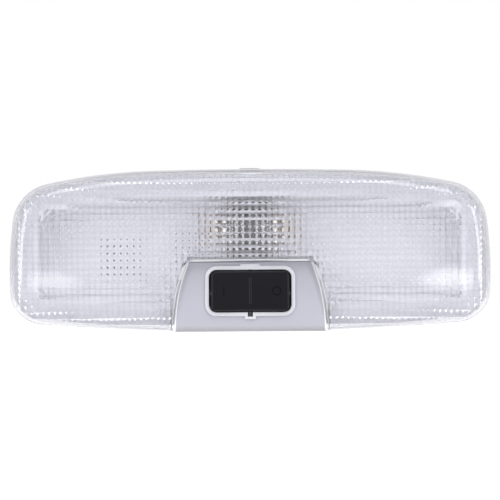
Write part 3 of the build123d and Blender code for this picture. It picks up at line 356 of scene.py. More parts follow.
filament_tungsten = rolled_metal(
    "filament_tungsten", TUNGSTEN, TUNGSTEN_DULL, roughness=0.45, streak_direction=(1.0, 1.0, 1.0)
)
coil = bmesh.new()
wire = bmesh.ops.create_circle(coil, segments=WIRE_SEGMENTS, radius=WIRE_RADIUS)["verts"]
bmesh.ops.rotate(coil, verts=wire, matrix=Matrix.Rotation(math.pi / 2, 3, "X"))
bmesh.ops.translate(coil, verts=wire, vec=(-COIL_HALF, 0, COIL_RADIUS))
turn_steps = COIL_TURNS * COIL_STEPS
bmesh.ops.spin(
    coil,
    geom=coil.verts[:] + coil.edges[:],
    cent=(0, 0, 0),
    axis=(1, 0, 0),
    dvec=(2 * COIL_HALF / turn_steps, 0, 0),
    angle=COIL_TURNS * math.tau,
    steps=turn_steps,
)
wire_ends = [edge for edge in coil.edges if edge.is_boundary]
bmesh.ops.holes_fill(coil, edges=wire_ends, sides=WIRE_SEGMENTS)
lead_length = GLASS_HALF - COIL_HALF
for side in (-1, 1):
    lead = bmesh.ops.create_cone(
        coil,
        cap_ends=True,
        segments=LEAD_SEGMENTS,
        radius1=LEAD_RADIUS,
        radius2=LEAD_RADIUS,
        depth=lead_length,
    )["verts"]
    bmesh.ops.rotate(coil, verts=lead, matrix=Matrix.Rotation(math.pi / 2, 3, "Y"))
    bmesh.ops.translate(coil, verts=lead, vec=(side * (COIL_HALF + lead_length / 2), 0, COIL_RADIUS))
bmesh.ops.recalc_face_normals(coil, faces=coil.faces)
bmesh.ops.translate(coil, verts=coil.verts, vec=BULB_PLACE)
filament_coil = new_piece("bulb_filament_coil", coil, filament_tungsten, "lamp")
smooth_shade(filament_coil, sharp_degrees=60)
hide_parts("bulb_filament")

cap_nickel = rolled_metal("cap_nickel", NICKEL, NICKEL_DULL, roughness=0.22, streak_direction=(1.0, 0.1, 0.1))
finish_node("bulb_cap_left", cap_nickel)
finish_node("bulb_cap_right", cap_nickel)

# Detent leaf and wiper: the working metal of the switch. The leaf is a spring strip with three dips,
# pinned in the well, and the wiper is a bronze strap over the nose of the key.
BRONZE = (0.66, 0.42, 0.22)
BRONZE_DULL = (0.52, 0.33, 0.18)
finish_node("detent_leaf", clip_steel)
wiper_bronze = rolled_metal(
    "wiper_bronze", BRONZE, BRONZE_DULL, roughness=0.3, streak_direction=(1.0, 1.0, 0.2)
)
finish_node("wiper", wiper_bronze)

# Rocker key: black moulded key that tilts on two trunnions, with a dished face, a centre ridge and
# the two switch signs standing up from it. Its edges and ridge are worn pale and carry a painted
# highlight, its trunnions are lightened grey as a painted highlight, its ends and lower side are
# darkened as painted shade, and each end has a small tick from the mould.
KEY_BLACK = (0.011, 0.0105, 0.0135)
KEY_BLACK_SHADE = (0.008, 0.0078, 0.0098)
KEY_WORN_HIGHLIGHT = (0.030, 0.030, 0.034)
KEY_END_PAINTED_SHADE = (0.0015, 0.0015, 0.002)
KEY_TICK = (0.060, 0.060, 0.065)
TRUNNION_HIGHLIGHT_GREY = (0.14, 0.14, 0.15)
KEY_GLOSS = 0.07
KEY_MIDDLE_Z = -16.8
KEY_EDGE_X = 15.7
KEY_EDGE_Z = 8.0
KEY_END_X = 15.9
KEY_FOOT_Z = -25.0
KEY_FADE = 0.3
KEY_TICK_Z = -17.8
KEY_TICK_HALF = 0.6
KEY_TICK_FADE = 0.2
TRUNNION_START = 8.6
TRUNNION_FADE = 0.1
RIDGE_HALF = 0.4
RIDGE_HALF_LENGTH = 5.6
WORN_HIGHLIGHT_CORE = 0.1
EDGE_HIGHLIGHT_REACH = 0.4
RIDGE_HIGHLIGHT_REACH = 0.3


def joined(material, operation, first, second):
    """Two shares made one by a Math operation."""
    both = add_node(material, "ShaderNodeMath", {})
    both.operation = operation
    material.node_tree.links.new(first, both.inputs[0])
    material.node_tree.links.new(second, both.inputs[1])
    return both.outputs["Value"]


def worn_highlight_line(material, distance, place, reach):
    """The share of a worn line with its painted highlight at a place, given the distance from the middle."""
    return ramp(material, away_from(material, distance, place), reach, WORN_HIGHLIGHT_CORE)


key_plastic = moulded_plastic(
    "key_plastic", KEY_BLACK, KEY_BLACK_SHADE, roughness=0.34, grain_size=0.4, grain_height=0.02
)
key_plastic.node_tree.nodes["Principled BSDF"].inputs["Specular IOR Level"].default_value = KEY_GLOSS
key_axes = coordinates(key_plastic)
key_x = away_from(key_plastic, key_axes["X"], 0)
key_z = away_from(key_plastic, key_axes["Z"], KEY_MIDDLE_Z)
# Worn pale edges and ridge, with a painted highlight along them.
edge_wear_highlight = joined(
    key_plastic,
    "MAXIMUM",
    worn_highlight_line(key_plastic, key_x, KEY_EDGE_X, EDGE_HIGHLIGHT_REACH),
    worn_highlight_line(key_plastic, key_z, KEY_EDGE_Z, EDGE_HIGHLIGHT_REACH),
)
ridge_wear_highlight = joined(
    key_plastic,
    "MULTIPLY",
    worn_highlight_line(key_plastic, key_x, RIDGE_HALF, RIDGE_HIGHLIGHT_REACH),
    ramp(key_plastic, key_z, RIDGE_HALF_LENGTH, RIDGE_HALF_LENGTH - KEY_FADE),
)
# Painted shade: the key's ends and its lower side are darkened.
end_painted_shade = joined(
    key_plastic,
    "MAXIMUM",
    ramp(key_plastic, key_x, KEY_END_X, KEY_END_X + KEY_FADE),
    ramp(key_plastic, key_axes["Z"], KEY_FOOT_Z, KEY_FOOT_Z - KEY_FADE),
)
tick_distance = away_from(key_plastic, key_axes["Z"], KEY_TICK_Z)
end_tick = joined(
    key_plastic,
    "MULTIPLY",
    ramp(key_plastic, key_x, KEY_END_X, KEY_END_X + KEY_TICK_FADE),
    ramp(key_plastic, tick_distance, KEY_TICK_HALF, KEY_TICK_HALF - KEY_TICK_FADE),
)
# Painted highlight: the black trunnions are lightened to grey.
trunnion_highlight = ramp(key_plastic, key_z, TRUNNION_START, TRUNNION_START + TRUNNION_FADE)
tinted(key_plastic, end_painted_shade, KEY_END_PAINTED_SHADE)
tinted(key_plastic, joined(key_plastic, "MAXIMUM", edge_wear_highlight, ridge_wear_highlight), KEY_WORN_HIGHLIGHT)
tinted(key_plastic, end_tick, KEY_TICK)
tinted(key_plastic, trunnion_highlight, TRUNNION_HIGHLIGHT_GREY)
finish_node("rocker_key", key_plastic)

SIGN_BLACK = (0.004, 0.004, 0.005)
SIGN_BLACK_SHADE = (0.003, 0.003, 0.004)
SIGN_GLOSS = 0.1
KEY_MIDDLE_DEPTH = 11.3
KEY_DISH = 0.9
KEY_HALF = 16.3
SIGN_X = 10.9
SIGN_HEIGHT = 3.8
SIGN_STROKE = 0.45
SIGN_RISE = 0.12
SIGN_SEGMENTS = 40
key_slope = math.atan2(KEY_DISH, KEY_HALF)


def picked(geom, kind):
    """The elements of one kind among an operator's results."""
    return [element for element in geom if isinstance(element, kind)]


def stand_on_key(shape, side):
    """Raise a sign drawn flat on XY and set it onto one sloping half of the key's face."""
    lifted = bmesh.ops.extrude_face_region(shape, geom=shape.faces[:], use_keep_orig=True)
    bmesh.ops.translate(shape, verts=picked(lifted["geom"], bmesh.types.BMVert), vec=(0, 0, SIGN_RISE))
    bmesh.ops.recalc_face_normals(shape, faces=shape.faces)
    bmesh.ops.rotate(shape, verts=shape.verts, matrix=Matrix.Rotation(math.pi / 2, 3, "X"))
    bmesh.ops.rotate(shape, verts=shape.verts, matrix=Matrix.Rotation(-side * key_slope, 3, "Z"))
    depth = KEY_MIDDLE_DEPTH + SIGN_X * math.tan(key_slope)
    bmesh.ops.translate(shape, verts=shape.verts, vec=(side * SIGN_X, -depth, KEY_MIDDLE_Z))


sign_gloss = moulded_plastic(
    "sign_gloss", SIGN_BLACK, SIGN_BLACK_SHADE, roughness=0.2, grain_size=0.4, grain_height=0.01
)
sign_gloss.node_tree.nodes["Principled BSDF"].inputs["Specular IOR Level"].default_value = SIGN_GLOSS
ring = bmesh.new()
for radius in (SIGN_HEIGHT / 2, SIGN_HEIGHT / 2 - SIGN_STROKE):
    bmesh.ops.create_circle(ring, segments=SIGN_SEGMENTS, radius=radius)
bmesh.ops.bridge_loops(ring, edges=ring.edges)
stand_on_key(ring, 1)
new_piece("key_sign_off", ring, sign_gloss, "rocker")
bar = bmesh.new()
bmesh.ops.create_grid(bar, x_segments=1, y_segments=1, size=0.5)
bmesh.ops.scale(bar, vec=(SIGN_STROKE, SIGN_HEIGHT, 1), verts=bar.verts)
bmesh.ops.bevel(
    bar, geom=bar.verts[:], offset=SIGN_STROKE / 3, segments=3, profile=0.5, affect="VERTICES", material=-1
)
stand_on_key(bar, -1)
new_piece("key_sign_on", bar, sign_gloss, "rocker")

# Switch panel: frosted grey plate with a skirt, a raised rim round the key and its two bearings. It
# is moulded apart from the lens and clips into the well behind it.
PANEL_GREY = (0.44, 0.44, 0.505)
PANEL_GREY_SHADE = (0.41, 0.41, 0.475)
PANEL_TOP_PAINTED_SHADE = (0.33, 0.33, 0.38)
PANEL_LIP_PAINTED_SHADE = (0.42, 0.417, 0.458)
RIM_HIGHLIGHT_GREY = (0.61, 0.61, 0.66)
EDGE_HIGHLIGHT_GREY = (0.88, 0.88, 0.90)
PANEL_TOP_Z = -4.6
PANEL_BOTTOM_Z = -33.6
PANEL_TOP_HALF = 25.9
PANEL_BOTTOM_HALF = 31.6
PANEL_SIDE_BOW = 1.5
PANEL_CORNER_RADIUS = 2.2
PANEL_FACE_Y = -9.5
RIM_SHOULDER_Y = -9.9
TOP_SHADE_FOOT_Z = -22.0
TOP_SHADE_HEAD_Z = -2.0
PANEL_LIP_Z = -31.0
PANEL_LIP_FADE = 0.3
PANEL_EDGE_WIDTH = 0.9
PANEL_EDGE_FADE = 0.3
panel_drop = PANEL_TOP_Z - PANEL_BOTTOM_Z
panel_spread = PANEL_BOTTOM_HALF - PANEL_TOP_HALF
panel_chord = math.hypot(panel_drop, panel_spread)
panel_side_radius = panel_chord**2 / (8 * PANEL_SIDE_BOW) + PANEL_SIDE_BOW / 2
panel_side_reach = panel_side_radius - PANEL_SIDE_BOW
panel_side_centre = (
    (PANEL_TOP_HALF + PANEL_BOTTOM_HALF) / 2 - panel_side_reach * panel_drop / panel_chord,
    (PANEL_TOP_Z + PANEL_BOTTOM_Z) / 2 - panel_side_reach * panel_spread / panel_chord,
)
panel_plastic = moulded_plastic(
    "panel_plastic", PANEL_GREY, PANEL_GREY_SHADE, roughness=0.42, grain_size=0.5, grain_height=0.03
)
panel_axes = coordinates(panel_plastic)
# Painted shade: the panel darkens towards its top.
top_painted_shade = ramp(panel_plastic, panel_axes["Z"], TOP_SHADE_FOOT_Z, TOP_SHADE_HEAD_Z)
# Painted shade: the rounded lip along the bottom is darker where it turns back.
lip_shade_share = ramp(panel_plastic, panel_axes["Z"], PANEL_LIP_Z, PANEL_LIP_Z - PANEL_LIP_FADE)
# Painted highlight: the raised rim in front of the panel's face is lighter.
rim_highlight_share = ramp(panel_plastic, panel_axes["Y"], PANEL_FACE_Y, RIM_SHOULDER_Y)
# Painted highlight: a pale line runs along the panel's two bowed sides.
right_half = add_node(panel_plastic, "ShaderNodeCombineXYZ", {})
side_distance = add_node(panel_plastic, "ShaderNodeVectorMath", {})
side_distance.operation = "DISTANCE"
side_distance.inputs[1].default_value = (panel_side_centre[0] * MM, 0, panel_side_centre[1] * MM)
panel_links = panel_plastic.node_tree.links
panel_links.new(away_from(panel_plastic, panel_axes["X"], 0), right_half.inputs["X"])
panel_links.new(panel_axes["Z"], right_half.inputs["Z"])
panel_links.new(right_half.outputs["Vector"], side_distance.inputs[0])
edge_start = panel_side_radius - PANEL_EDGE_WIDTH
edge_highlight_share = ramp(panel_plastic, side_distance.outputs["Value"], edge_start, edge_start + PANEL_EDGE_FADE)
tinted(panel_plastic, top_painted_shade, PANEL_TOP_PAINTED_SHADE)
tinted(panel_plastic, lip_shade_share, PANEL_LIP_PAINTED_SHADE)
tinted(panel_plastic, rim_highlight_share, RIM_HIGHLIGHT_GREY)
tinted(panel_plastic, edge_highlight_share, EDGE_HIGHLIGHT_GREY)
finish_node("switch_panel", panel_plastic)

# Lens: one clear acrylic moulding with a polished, crowned front, a rolled edge and a skirt that clips
# over the flange. Crossed rows of small pillow prisms cover its inner face, and it is notched for
# the switch panel.
LENS_TINT = (0.94, 0.94, 0.98)
LENS_EDGE_PAINTED_SHADE = (0.50, 0.50, 0.54)
NOTCH_FROST = (0.92, 0.92, 0.94)
NOTCH_FROST_SHADE = (0.90, 0.90, 0.92)
NOTCH_TOP_PAINTED_SHADE = (0.74, 0.74, 0.77)
LENS_HALF_LENGTH = 100.0
LENS_TOP_Z = 33.8
LENS_BOTTOM_Z = -33.9
TOP_RADIUS = 1800.0
SHOULDER_RADIUS = 230.0
SHOULDER_START_X = 40.4
END_RADIUS = 170.0
END_CENTRE_Z = -8.8
BOTTOM_RADIUS = 1060.0
TOP_CORNER_RADIUS = 18.3
BOTTOM_CORNER_RADIUS = 14.1
ARC_STEPS = [8, 14, 16, 12, 16, 20]
ARC_END_GAP = 0.01
CUT_NEARNESS = 0.0001
LENS_CROWN = 13.0
CROWN_RADIUS_X = 1250.0
CROWN_RADIUS_Z = 240.0
LENS_WALL = 2.3
LENS_ROLL = 7.0
LENS_REAR = 0.4
SKIRT_NEARNESS = 0.05
FLANGE_MARGIN = 0.2
FRONT_RINGS = (0, 0.15, 0.55, 1.25, 2.3, 3.6, 5.2, 7.0)
INNER_RINGS = (0, 0.12, 0.4, 0.9)
GRID_HALF_X = 98.0
GRID_HALF_Z = 32.0
NOTCH_GAP = 0.45
NOTCH_WALL = 0.7
NOTCH_REAR = 2.05
NOTCH_ROUNDING = 0.4
NOTCH_END_Z = -37.0
NOTCH_ZONE_HALF = 40.0
NOTCH_ZONE_MARGIN = 3.0
NOTCH_RIM_HALF = 36.0
NOTCH_RIM_INSET = 0.3
FRONT_SLOPE = 0.5
WALL_SLOPE = 0.3
NOTCH_CORNER_STEPS = 6
NOTCH_SIDE_STEPS = 14
NOTCH_GREY_FOOT_Z = -7.0
NOTCH_GREY_HEAD_Z = -4.5
PRISM_WIDTH = 2.37
PRISM_HEIGHT = 2.49
PRISM_RISE = 0.46
PRISM_CUTS = 4
PRISM_START = 0.3
LATCHES = [(-36.8, 12.0, 1), (36.8, 12.0, 1), (-70.0, 4.0, -1), (70.0, 4.0, -1)]
LATCH_REACH = 1.0
LATCH_THICKNESS = 0.7
LATCH_ZONE_MARGIN = 8.0
LATCH_NEARNESS = 0.1
BORDER_WIDTH = 11.0
BORDER_FADE = 2.0
BORDER_PAINTED_SHADE = 0.31
RIM_TINT_WIDTH = 3.3


def circles_meet(centre_a, radius_a, centre_b, radius_b, upper):
    """The right-hand meeting point of two circles: the upper or the lower one."""
    dx = centre_b[0] - centre_a[0]
    dz = centre_b[1] - centre_a[1]
    gap = math.hypot(dx, dz)
    along = (radius_a**2 - radius_b**2 + gap**2) / (2 * gap)
    across = math.sqrt(radius_a**2 - along**2)
    foot = (centre_a[0] + along * dx / gap, centre_a[1] + along * dz / gap)
    points = [(foot[0] - side * across * dz / gap, foot[1] + side * across * dx / gap) for side in (1, -1)]
    points = sorted((point for point in points if point[0] > 0), key=lambda point: point[1])
    return points[-1] if upper else points[0]


def turn_to(centre, point):
    """The clockwise turn from straight up to the line from a centre to a point."""
    return math.atan2(point[0] - centre[0], point[1] - centre[1])


shoulder_turn = math.asin(SHOULDER_START_X / TOP_RADIUS)
top_centre = (0, LENS_TOP_Z - TOP_RADIUS)
shoulder_centre = (
    (TOP_RADIUS - SHOULDER_RADIUS) * math.sin(shoulder_turn),
    top_centre[1] + (TOP_RADIUS - SHOULDER_RADIUS) * math.cos(shoulder_turn),
)
end_centre = (LENS_HALF_LENGTH - END_RADIUS, END_CENTRE_Z)
bottom_centre = (0, BOTTOM_RADIUS + LENS_BOTTOM_Z)
top_corner = circles_meet(
    shoulder_centre, SHOULDER_RADIUS - TOP_CORNER_RADIUS, end_centre, END_RADIUS - TOP_CORNER_RADIUS, True
)
bottom_corner = circles_meet(
    bottom_centre, BOTTOM_RADIUS - BOTTOM_CORNER_RADIUS, end_centre, END_RADIUS - BOTTOM_CORNER_RADIUS, False
)
turns = [
    0,
    shoulder_turn,
    turn_to(shoulder_centre, top_corner),
    turn_to(end_centre, top_corner),
    turn_to(end_centre, bottom_corner),
    turn_to(bottom_centre, bottom_corner),
    math.pi,
]
arc_centres = [top_centre, shoulder_centre, top_corner, end_centre, bottom_corner, bottom_centre]


def draw_outline(shape, inset):
    """Draw the lamp's outline in the flat, drawn in by a distance, as a closed loop of edges."""
    arcs = zip(arc_centres, turns, turns[1:], ARC_STEPS)
    right = [(centre, end - start, steps) for centre, start, end, steps in arcs]
    left = [((-centre[0], centre[1]), turn, steps) for centre, turn, steps in reversed(right)]
    known = set(shape.verts)
    point = shape.verts.new((0, 0, LENS_TOP_Z - inset))
    for centre, turn, steps in right + left:
        swept = bmesh.ops.spin(
            shape, geom=[point], cent=(centre[0], 0, centre[1]), axis=(0, 1, 0), angle=turn, steps=steps
        )
        point = picked(swept["geom_last"], bmesh.types.BMVert)[0]
    drawn = [vert for vert in shape.verts if vert not in known]
    bmesh.ops.remove_doubles(shape, verts=drawn, dist=ARC_END_GAP)
    return [edge for edge in shape.edges if edge.verts[0] not in known and edge.verts[1] not in known]


def cut_faces(shape, faces, place, direction):
    """Cut faces along a plane and return all that they become."""
    touched = dict.fromkeys(element for face in faces for element in (face, *face.edges, *face.verts))
    cut = bmesh.ops.bisect_plane(
        shape, geom=list(touched), dist=CUT_NEARNESS, plane_co=place, plane_no=direction
    )
    return picked(cut["geom"], bmesh.types.BMFace)


def slice_faces(shape, faces, direction, spacing, half_width):
    """Cut flat faces along evenly spaced lines and return all the faces."""
    count = int(half_width / spacing)
    rest = list(faces)
    done = []
    for step in range(-count, count + 1):
        place = step * spacing
        sliced = cut_faces(shape, rest, direction * place, direction)
        rest = [face for face in sliced if face.calc_center_median().dot(direction) > place]
        done += [face for face in sliced if face.calc_center_median().dot(direction) <= place]
    return done + rest


def point_at(centre, radius, turn):
    """The point of a circle at a clockwise turn from straight up."""
    return centre[0] + radius * math.sin(turn), centre[1] + radius * math.cos(turn)


def cut_notch(shape, growth):
    """Take the switch panel's outline, grown by a distance, out of a flat sheet."""
    top = PANEL_TOP_Z + growth
    side_radius = panel_side_radius + growth
    corner_radius = PANEL_CORNER_RADIUS + growth
    corner_z = top - corner_radius
    reach = math.sqrt((side_radius - corner_radius) ** 2 - (corner_z - panel_side_centre[1]) ** 2)
    corner = (panel_side_centre[0] + reach, corner_z)
    corner_turn = turn_to(panel_side_centre, corner)
    side_turn = math.acos((NOTCH_END_Z - panel_side_centre[1]) / side_radius) - corner_turn
    points = []
    for step in range(NOTCH_CORNER_STEPS + 1):
        turn = corner_turn * step / NOTCH_CORNER_STEPS
        points.append(point_at(corner, corner_radius, turn))
    for step in range(1, NOTCH_SIDE_STEPS + 1):
        turn = corner_turn + side_turn * step / NOTCH_SIDE_STEPS
        points.append(point_at(panel_side_centre, side_radius, turn))
    planes = [(Vector((0, 0, top)), Vector((0, 0, 1)))]
    for first, second in zip(points, points[1:]):
        outward = Vector((first[1] - second[1], 0, second[0] - first[0])).normalized()
        for side in (1, -1):
            planes.append((Vector((side * first[0], 0, first[1])), Vector((side * outward.x, 0, outward.z))))
    inside = []
    for face in shape.faces:
        middle = face.calc_center_median()
        if abs(middle.x) < NOTCH_ZONE_HALF and middle.z < top + NOTCH_ZONE_MARGIN:
            inside.append(face)
    for place, outward in planes:
        faces = cut_faces(shape, inside, place, outward)
        inside = [face for face in faces if (face.calc_center_median() - place).dot(outward) < 0]
    bmesh.ops.delete(shape, geom=inside, context="FACES")


def edge_distance(x, z):
    """How far a point of the lens lies in from the lamp's outline."""
    x = abs(x)
    point = (x, z)
    upper = (top_centre, TOP_RADIUS)
    if turn_to(shoulder_centre, point) > shoulder_turn:
        upper = (shoulder_centre, SHOULDER_RADIUS)
    sides = [upper, (end_centre, END_RADIUS), (bottom_centre, BOTTOM_RADIUS)]
    if turns[2] < turn_to(top_corner, point) < turns[3]:
        sides.append((top_corner, TOP_CORNER_RADIUS))
    if turns[4] < turn_to(bottom_corner, point) < turns[5]:
        sides.append((bottom_corner, BOTTOM_CORNER_RADIUS))
    return min(radius - math.hypot(x - centre[0], z - centre[1]) for centre, radius in sides)


def face_depth(x, z, inset, roll):
    """The depth of the crowned face with its rolled edge, an inset in from the lamp's outline."""
    crown = LENS_CROWN - inset
    crown -= CROWN_RADIUS_X - math.sqrt(CROWN_RADIUS_X**2 - x**2)
    crown -= CROWN_RADIUS_Z - math.sqrt(CROWN_RADIUS_Z**2 - z**2)
    over = max(0.0, min(roll, roll - edge_distance(x, z) + inset))
    return crown - roll + math.sqrt(roll**2 - over**2)


def prism_rise(x, z):
    """The height of the pillow prisms over the inner face."""
    across = x / PRISM_WIDTH - math.floor(x / PRISM_WIDTH) - 0.5
    upright = z / PRISM_HEIGHT - math.floor(z / PRISM_HEIGHT) - 0.5
    fade = max(0.0, min(1.0, edge_distance(x, z) - LENS_WALL - PRISM_START))
    return fade * PRISM_RISE * (2 - 4 * across**2 - 4 * upright**2)


def skirt_back(shape):
    """Draw the open edge of a sheet back to the rear of the skirt and of the notch's wall."""
    rim = [edge for edge in shape.edges if edge.is_boundary]
    drawn = bmesh.ops.extrude_edge_only(shape, edges=rim)
    for vert in picked(drawn["geom"], bmesh.types.BMVert):
        over_flange = edge_distance(vert.co.x, vert.co.z) > LENS_WALL + FLANGE_MARGIN
        vert.co.y = -NOTCH_REAR if over_flange else -LENS_REAR


def on_skirt(vert):
    """Whether a rear corner lies on the skirt, and not on the notch's wall."""
    inset = edge_distance(vert.co.x, vert.co.z)
    return min(abs(inset), abs(inset - LENS_WALL)) < SKIRT_NEARNESS


def raise_latch(shape, x, width, side):
    """Raise a latch from the inner face of the skirt, along its rear edge."""
    wall = []
    for face in shape.faces:
        middle = face.calc_center_median()
        near_wall = abs(edge_distance(middle.x, middle.z) - LENS_WALL) < LATCH_NEARNESS
        near_latch = middle.z * side > 0 and abs(middle.x - x) < width / 2 + LATCH_ZONE_MARGIN
        if near_wall and near_latch and abs(face.normal.y) < WALL_SLOPE:
            wall.append(face)
    front = -LENS_REAR - LATCH_THICKNESS
    for end_x in (x - width / 2, x + width / 2):
        wall = cut_faces(shape, wall, (end_x, 0, 0), (1, 0, 0))
    wall = cut_faces(shape, wall, (0, front, 0), (0, 1, 0))
    middles = [(face, face.calc_center_median()) for face in wall]
    root = [face for face, middle in middles if abs(middle.x - x) < width / 2 and middle.y > front]
    raised = bmesh.ops.extrude_face_region(shape, geom=root)
    for vert in picked(raised["geom"], bmesh.types.BMVert):
        vert.co.z -= side * LATCH_REACH
    bmesh.ops.delete(shape, geom=root, context="FACES")


def lens_sheet(insets, cell_width, cell_height, growth):
    """A flat sheet of the lens: rings along its edge, a grid inside them and the notch cut out."""
    sheet = bmesh.new()
    loops = [draw_outline(sheet, inset) for inset in insets]
    for outer, inner in zip(loops, loops[1:]):
        bmesh.ops.bridge_loops(sheet, edges=outer + inner)
    middle = bmesh.ops.edgeloop_fill(sheet, edges=loops[-1])["faces"]
    columns = slice_faces(sheet, middle, Vector((1, 0, 0)), cell_width, GRID_HALF_X)
    slice_faces(sheet, columns, Vector((0, 0, 1)), cell_height, GRID_HALF_Z)
    cut_notch(sheet, growth)
    return sheet


front_sheet = lens_sheet(FRONT_RINGS, PRISM_WIDTH, PRISM_HEIGHT, NOTCH_GAP)
for vert in front_sheet.verts:
    vert.co.y = -face_depth(vert.co.x, vert.co.z, 0, LENS_ROLL)
skirt_back(front_sheet)
notch_rim = []
for edge in front_sheet.edges:
    middle = (edge.verts[0].co + edge.verts[1].co) / 2
    front_face = max(face.normal.y**2 for face in edge.link_faces) > FRONT_SLOPE
    wall_face = min(face.normal.y**2 for face in edge.link_faces) < WALL_SLOPE
    inside_outline = edge_distance(middle.x, middle.z) > NOTCH_RIM_INSET
    if front_face and wall_face and inside_outline and abs(middle.x) < NOTCH_RIM_HALF:
        notch_rim.append(edge)
notch_nose = bmesh.ops.bevel(
    front_sheet, geom=notch_rim, offset=NOTCH_ROUNDING, segments=3, profile=0.5, affect="EDGES", material=-1
)
for face in notch_nose["faces"]:
    face.material_index = 1
prism_sheet = lens_sheet(
    [LENS_WALL + ring for ring in INNER_RINGS],
    PRISM_WIDTH / PRISM_CUTS,
    PRISM_HEIGHT / PRISM_CUTS,
    NOTCH_GAP + NOTCH_WALL,
)
for vert in prism_sheet.verts:
    inner_depth = face_depth(vert.co.x, vert.co.z, LENS_WALL, LENS_ROLL - LENS_WALL)
    vert.co.y = prism_rise(vert.co.x, vert.co.z) - inner_depth
skirt_back(prism_sheet)
inner_mesh = bpy.data.meshes.new("lens_inner")
prism_sheet.to_mesh(inner_mesh)
prism_sheet.free()
front_sheet.from_mesh(inner_mesh)
bpy.data.meshes.remove(inner_mesh)
rear_edges = [edge for edge in front_sheet.edges if edge.is_boundary]
skirt_edges = [edge for edge in rear_edges if all(on_skirt(vert) for vert in edge.verts)]
notch_edges = [edge for edge in rear_edges if edge not in skirt_edges]
bmesh.ops.bridge_loops(front_sheet, edges=skirt_edges)
notch_foot = bmesh.ops.bridge_loops(front_sheet, edges=notch_edges)["faces"]
for face in notch_foot:
    face.material_index = 1
front_sheet.normal_update()
for latch_x, latch_width, latch_side in LATCHES:
    raise_latch(front_sheet, latch_x, latch_width, latch_side)
bmesh.ops.recalc_face_normals(front_sheet, faces=front_sheet.faces)
# Painted shade: the acrylic is coloured darker towards the lamp's outline, a little over the border and most
# on the rolled edge and skirt.
edge_layer = front_sheet.verts.layers.float.new("edge_nearness")
for vert in front_sheet.verts:
    inset = edge_distance(vert.co.x, vert.co.z)
    border = BORDER_PAINTED_SHADE * max(0.0, min(1.0, (BORDER_WIDTH - inset) / BORDER_FADE))
    vert[edge_layer] = min(1.0, max(border, 1 - inset / RIM_TINT_WIDTH))

lens_acrylic = clear_finish("lens_acrylic", roughness=0.04, refraction=1.49)
# The painted shade near the outline is laid on the clear acrylic here.
edge_shade_attribute = add_node(lens_acrylic, "ShaderNodeAttribute", {})
edge_shade_attribute.attribute_name = "edge_nearness"
coloured_between(lens_acrylic, edge_shade_attribute.outputs["Fac"], LENS_TINT, LENS_EDGE_PAINTED_SHADE)
notch_frost = moulded_plastic(
    "notch_frost", NOTCH_FROST, NOTCH_FROST_SHADE, roughness=0.6, grain_size=0.3, grain_height=0.02
)
# Painted shade: the notch's frosted edge is greyer along the top of the panel.
notch_top_shade = ramp(notch_frost, coordinates(notch_frost)["Z"], NOTCH_GREY_FOOT_Z, NOTCH_GREY_HEAD_Z)
tinted(notch_frost, notch_top_shade, NOTCH_TOP_PAINTED_SHADE)
lens = new_piece("prismatic_lens", front_sheet, lens_acrylic, "lamp")
lens.data.materials.append(notch_frost)
smooth_shade(lens, sharp_degrees=28)
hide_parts("lens")

# Studio, in metres: a pale floor below the lamp and white surroundings, with a softbox at each side
# and one above. The floor shows white to the eye but keeps the lamp's shadow, and three small oval
# lights leave soft reflections near the ends of the lens.
FLOOR_Z = -0.13
FLOOR_HALF = 6.0
FLOOR_PALE = (0.85, 0.85, 0.85, 1)
FLOOR_ROUGHNESS = 0.9
FLOOR_GLOW = 0.62
WORLD_LIGHT = 0.55
GLOW_LAYERS = (1.0, 0.8, 0.6, 0.4)
GLOW_LAYER_STEP = 0.002
floor_mesh = bpy.data.meshes.new("studio_floor")
sweep = bmesh.new()
bmesh.ops.create_grid(sweep, x_segments=4, y_segments=4, size=FLOOR_HALF)
bmesh.ops.translate(sweep, verts=sweep.verts, vec=(0, 0, FLOOR_Z))
sweep.to_mesh(floor_mesh)
sweep.free()
studio_floor = bpy.data.objects.new("studio_floor", floor_mesh)
bpy.context.scene.collection.objects.link(studio_floor)


def seen_directly(surface):
    """The light path's camera, glossy and transmission rays as one number."""
    path = add_node(surface, "ShaderNodeLightPath", {})
    mirrored = joined(surface, "MAXIMUM", path.outputs["Is Camera Ray"], path.outputs["Is Glossy Ray"])
    return joined(surface, "MAXIMUM", mirrored, path.outputs["Is Transmission Ray"])


floor_paper, floor_shader = new_finish("floor_paper")
floor_shader.inputs["Base Color"].default_value = FLOOR_PALE
floor_shader.inputs["Roughness"].default_value = FLOOR_ROUGHNESS
floor_shader.inputs["Emission Color"].default_value = (1, 1, 1, 1)
floor_glow = add_node(floor_paper, "ShaderNodeMath", {1: FLOOR_GLOW})
floor_glow.operation = "MULTIPLY"
floor_paper.node_tree.links.new(seen_directly(floor_paper), floor_glow.inputs[0])
floor_paper.node_tree.links.new(floor_glow.outputs["Value"], floor_shader.inputs["Emission Strength"])
floor_mesh.materials.append(floor_paper)

studio_world = bpy.data.worlds.new("studio_world")
bpy.context.scene.world = studio_world
studio_world.use_nodes = True
backdrop = studio_world.node_tree.nodes["Background"]
backdrop.inputs["Color"].default_value = (1, 1, 1, 1)
world_strength = add_node(studio_world, "ShaderNodeMapRange", {"To Min": WORLD_LIGHT, "To Max": 1.0})
studio_world.node_tree.links.new(seen_directly(studio_world), world_strength.inputs["Value"])
studio_world.node_tree.links.new(world_strength.outputs["Result"], backdrop.inputs["Strength"])


def softbox(name, place, width, height, watts):
    """A flat studio light that faces the lamp."""
    light = bpy.data.lights.new(name, "AREA")
    light.shape = "RECTANGLE"
    light.size = width
    light.size_y = height
    light.energy = watts
    holder = bpy.data.objects.new(name, light)
    holder.location = place
    holder.rotation_euler = (-Vector(place)).to_track_quat("-Z", "Y").to_euler()
    bpy.context.scene.collection.objects.link(holder)
    return holder


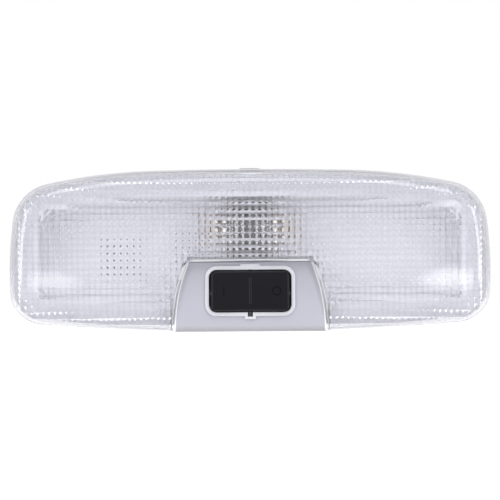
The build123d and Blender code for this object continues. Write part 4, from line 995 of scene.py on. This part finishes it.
def soft_glow(name, place, width, height, lean, watts):
    """A small oval light, brightest in its middle, that leans by some degrees."""
    watts_per_area = watts / sum(share**2 for share in GLOW_LAYERS)
    for layer, share in enumerate(GLOW_LAYERS):
        layer_place = (place[0], place[1] - GLOW_LAYER_STEP * layer, place[2])
        holder = softbox(
            f"{name}_{layer}", layer_place, width * share, height * share, watts_per_area * share**2
        )
        holder.data.shape = "ELLIPSE"
        holder.rotation_euler.rotate_axis("Z", math.radians(lean))


softbox("softbox_left", place=(-0.75, -0.75, 0.15), width=0.25, height=0.6, watts=3.4)
softbox("softbox_right", place=(0.75, -0.75, 0.15), width=0.25, height=0.6, watts=3.4)
softbox("softbox_top", place=(0, -0.7, 0.9), width=0.9, height=0.4, watts=5.0)
soft_glow("glow_left", place=(-0.180, -0.50, -0.069), width=0.066, height=0.052, lean=-38, watts=0.027)
soft_glow("glow_right", place=(0.182, -0.50, -0.067), width=0.066, height=0.060, lean=38, watts=0.044)
soft_glow("glow_high", place=(0.190, -0.50, 0.113), width=0.044, height=0.044, lean=-20, watts=0.012)

# Camera: far in front of the lamp and square to its lens, rolled a third of a degree as in the
# photograph. Its bounces let light through the clear lens and the bulb and out again.
CAMERA_DISTANCE = 1.3
CAMERA_X = 0.00002
CAMERA_Z = 0.00013
CAMERA_ROLL = 0.366
FRAME_WIDTH = 0.2066
LENS_FACE_Y = -0.010
SENSOR_WIDTH = 36.0
camera_data = bpy.data.cameras.new("camera")
camera_data.sensor_width = SENSOR_WIDTH
camera_data.lens = SENSOR_WIDTH * CAMERA_DISTANCE / FRAME_WIDTH
camera = bpy.data.objects.new("camera", camera_data)
camera.location = (CAMERA_X, LENS_FACE_Y - CAMERA_DISTANCE, CAMERA_Z)
camera.rotation_euler = (math.radians(90), math.radians(CAMERA_ROLL), 0)
bpy.context.scene.collection.objects.link(camera)
bpy.context.scene.camera = camera
bpy.context.scene.view_settings.view_transform = "Standard"
bpy.context.scene.cycles.max_bounces = 28
bpy.context.scene.cycles.transmission_bounces = 28
bpy.context.scene.cycles.glossy_bounces = 16
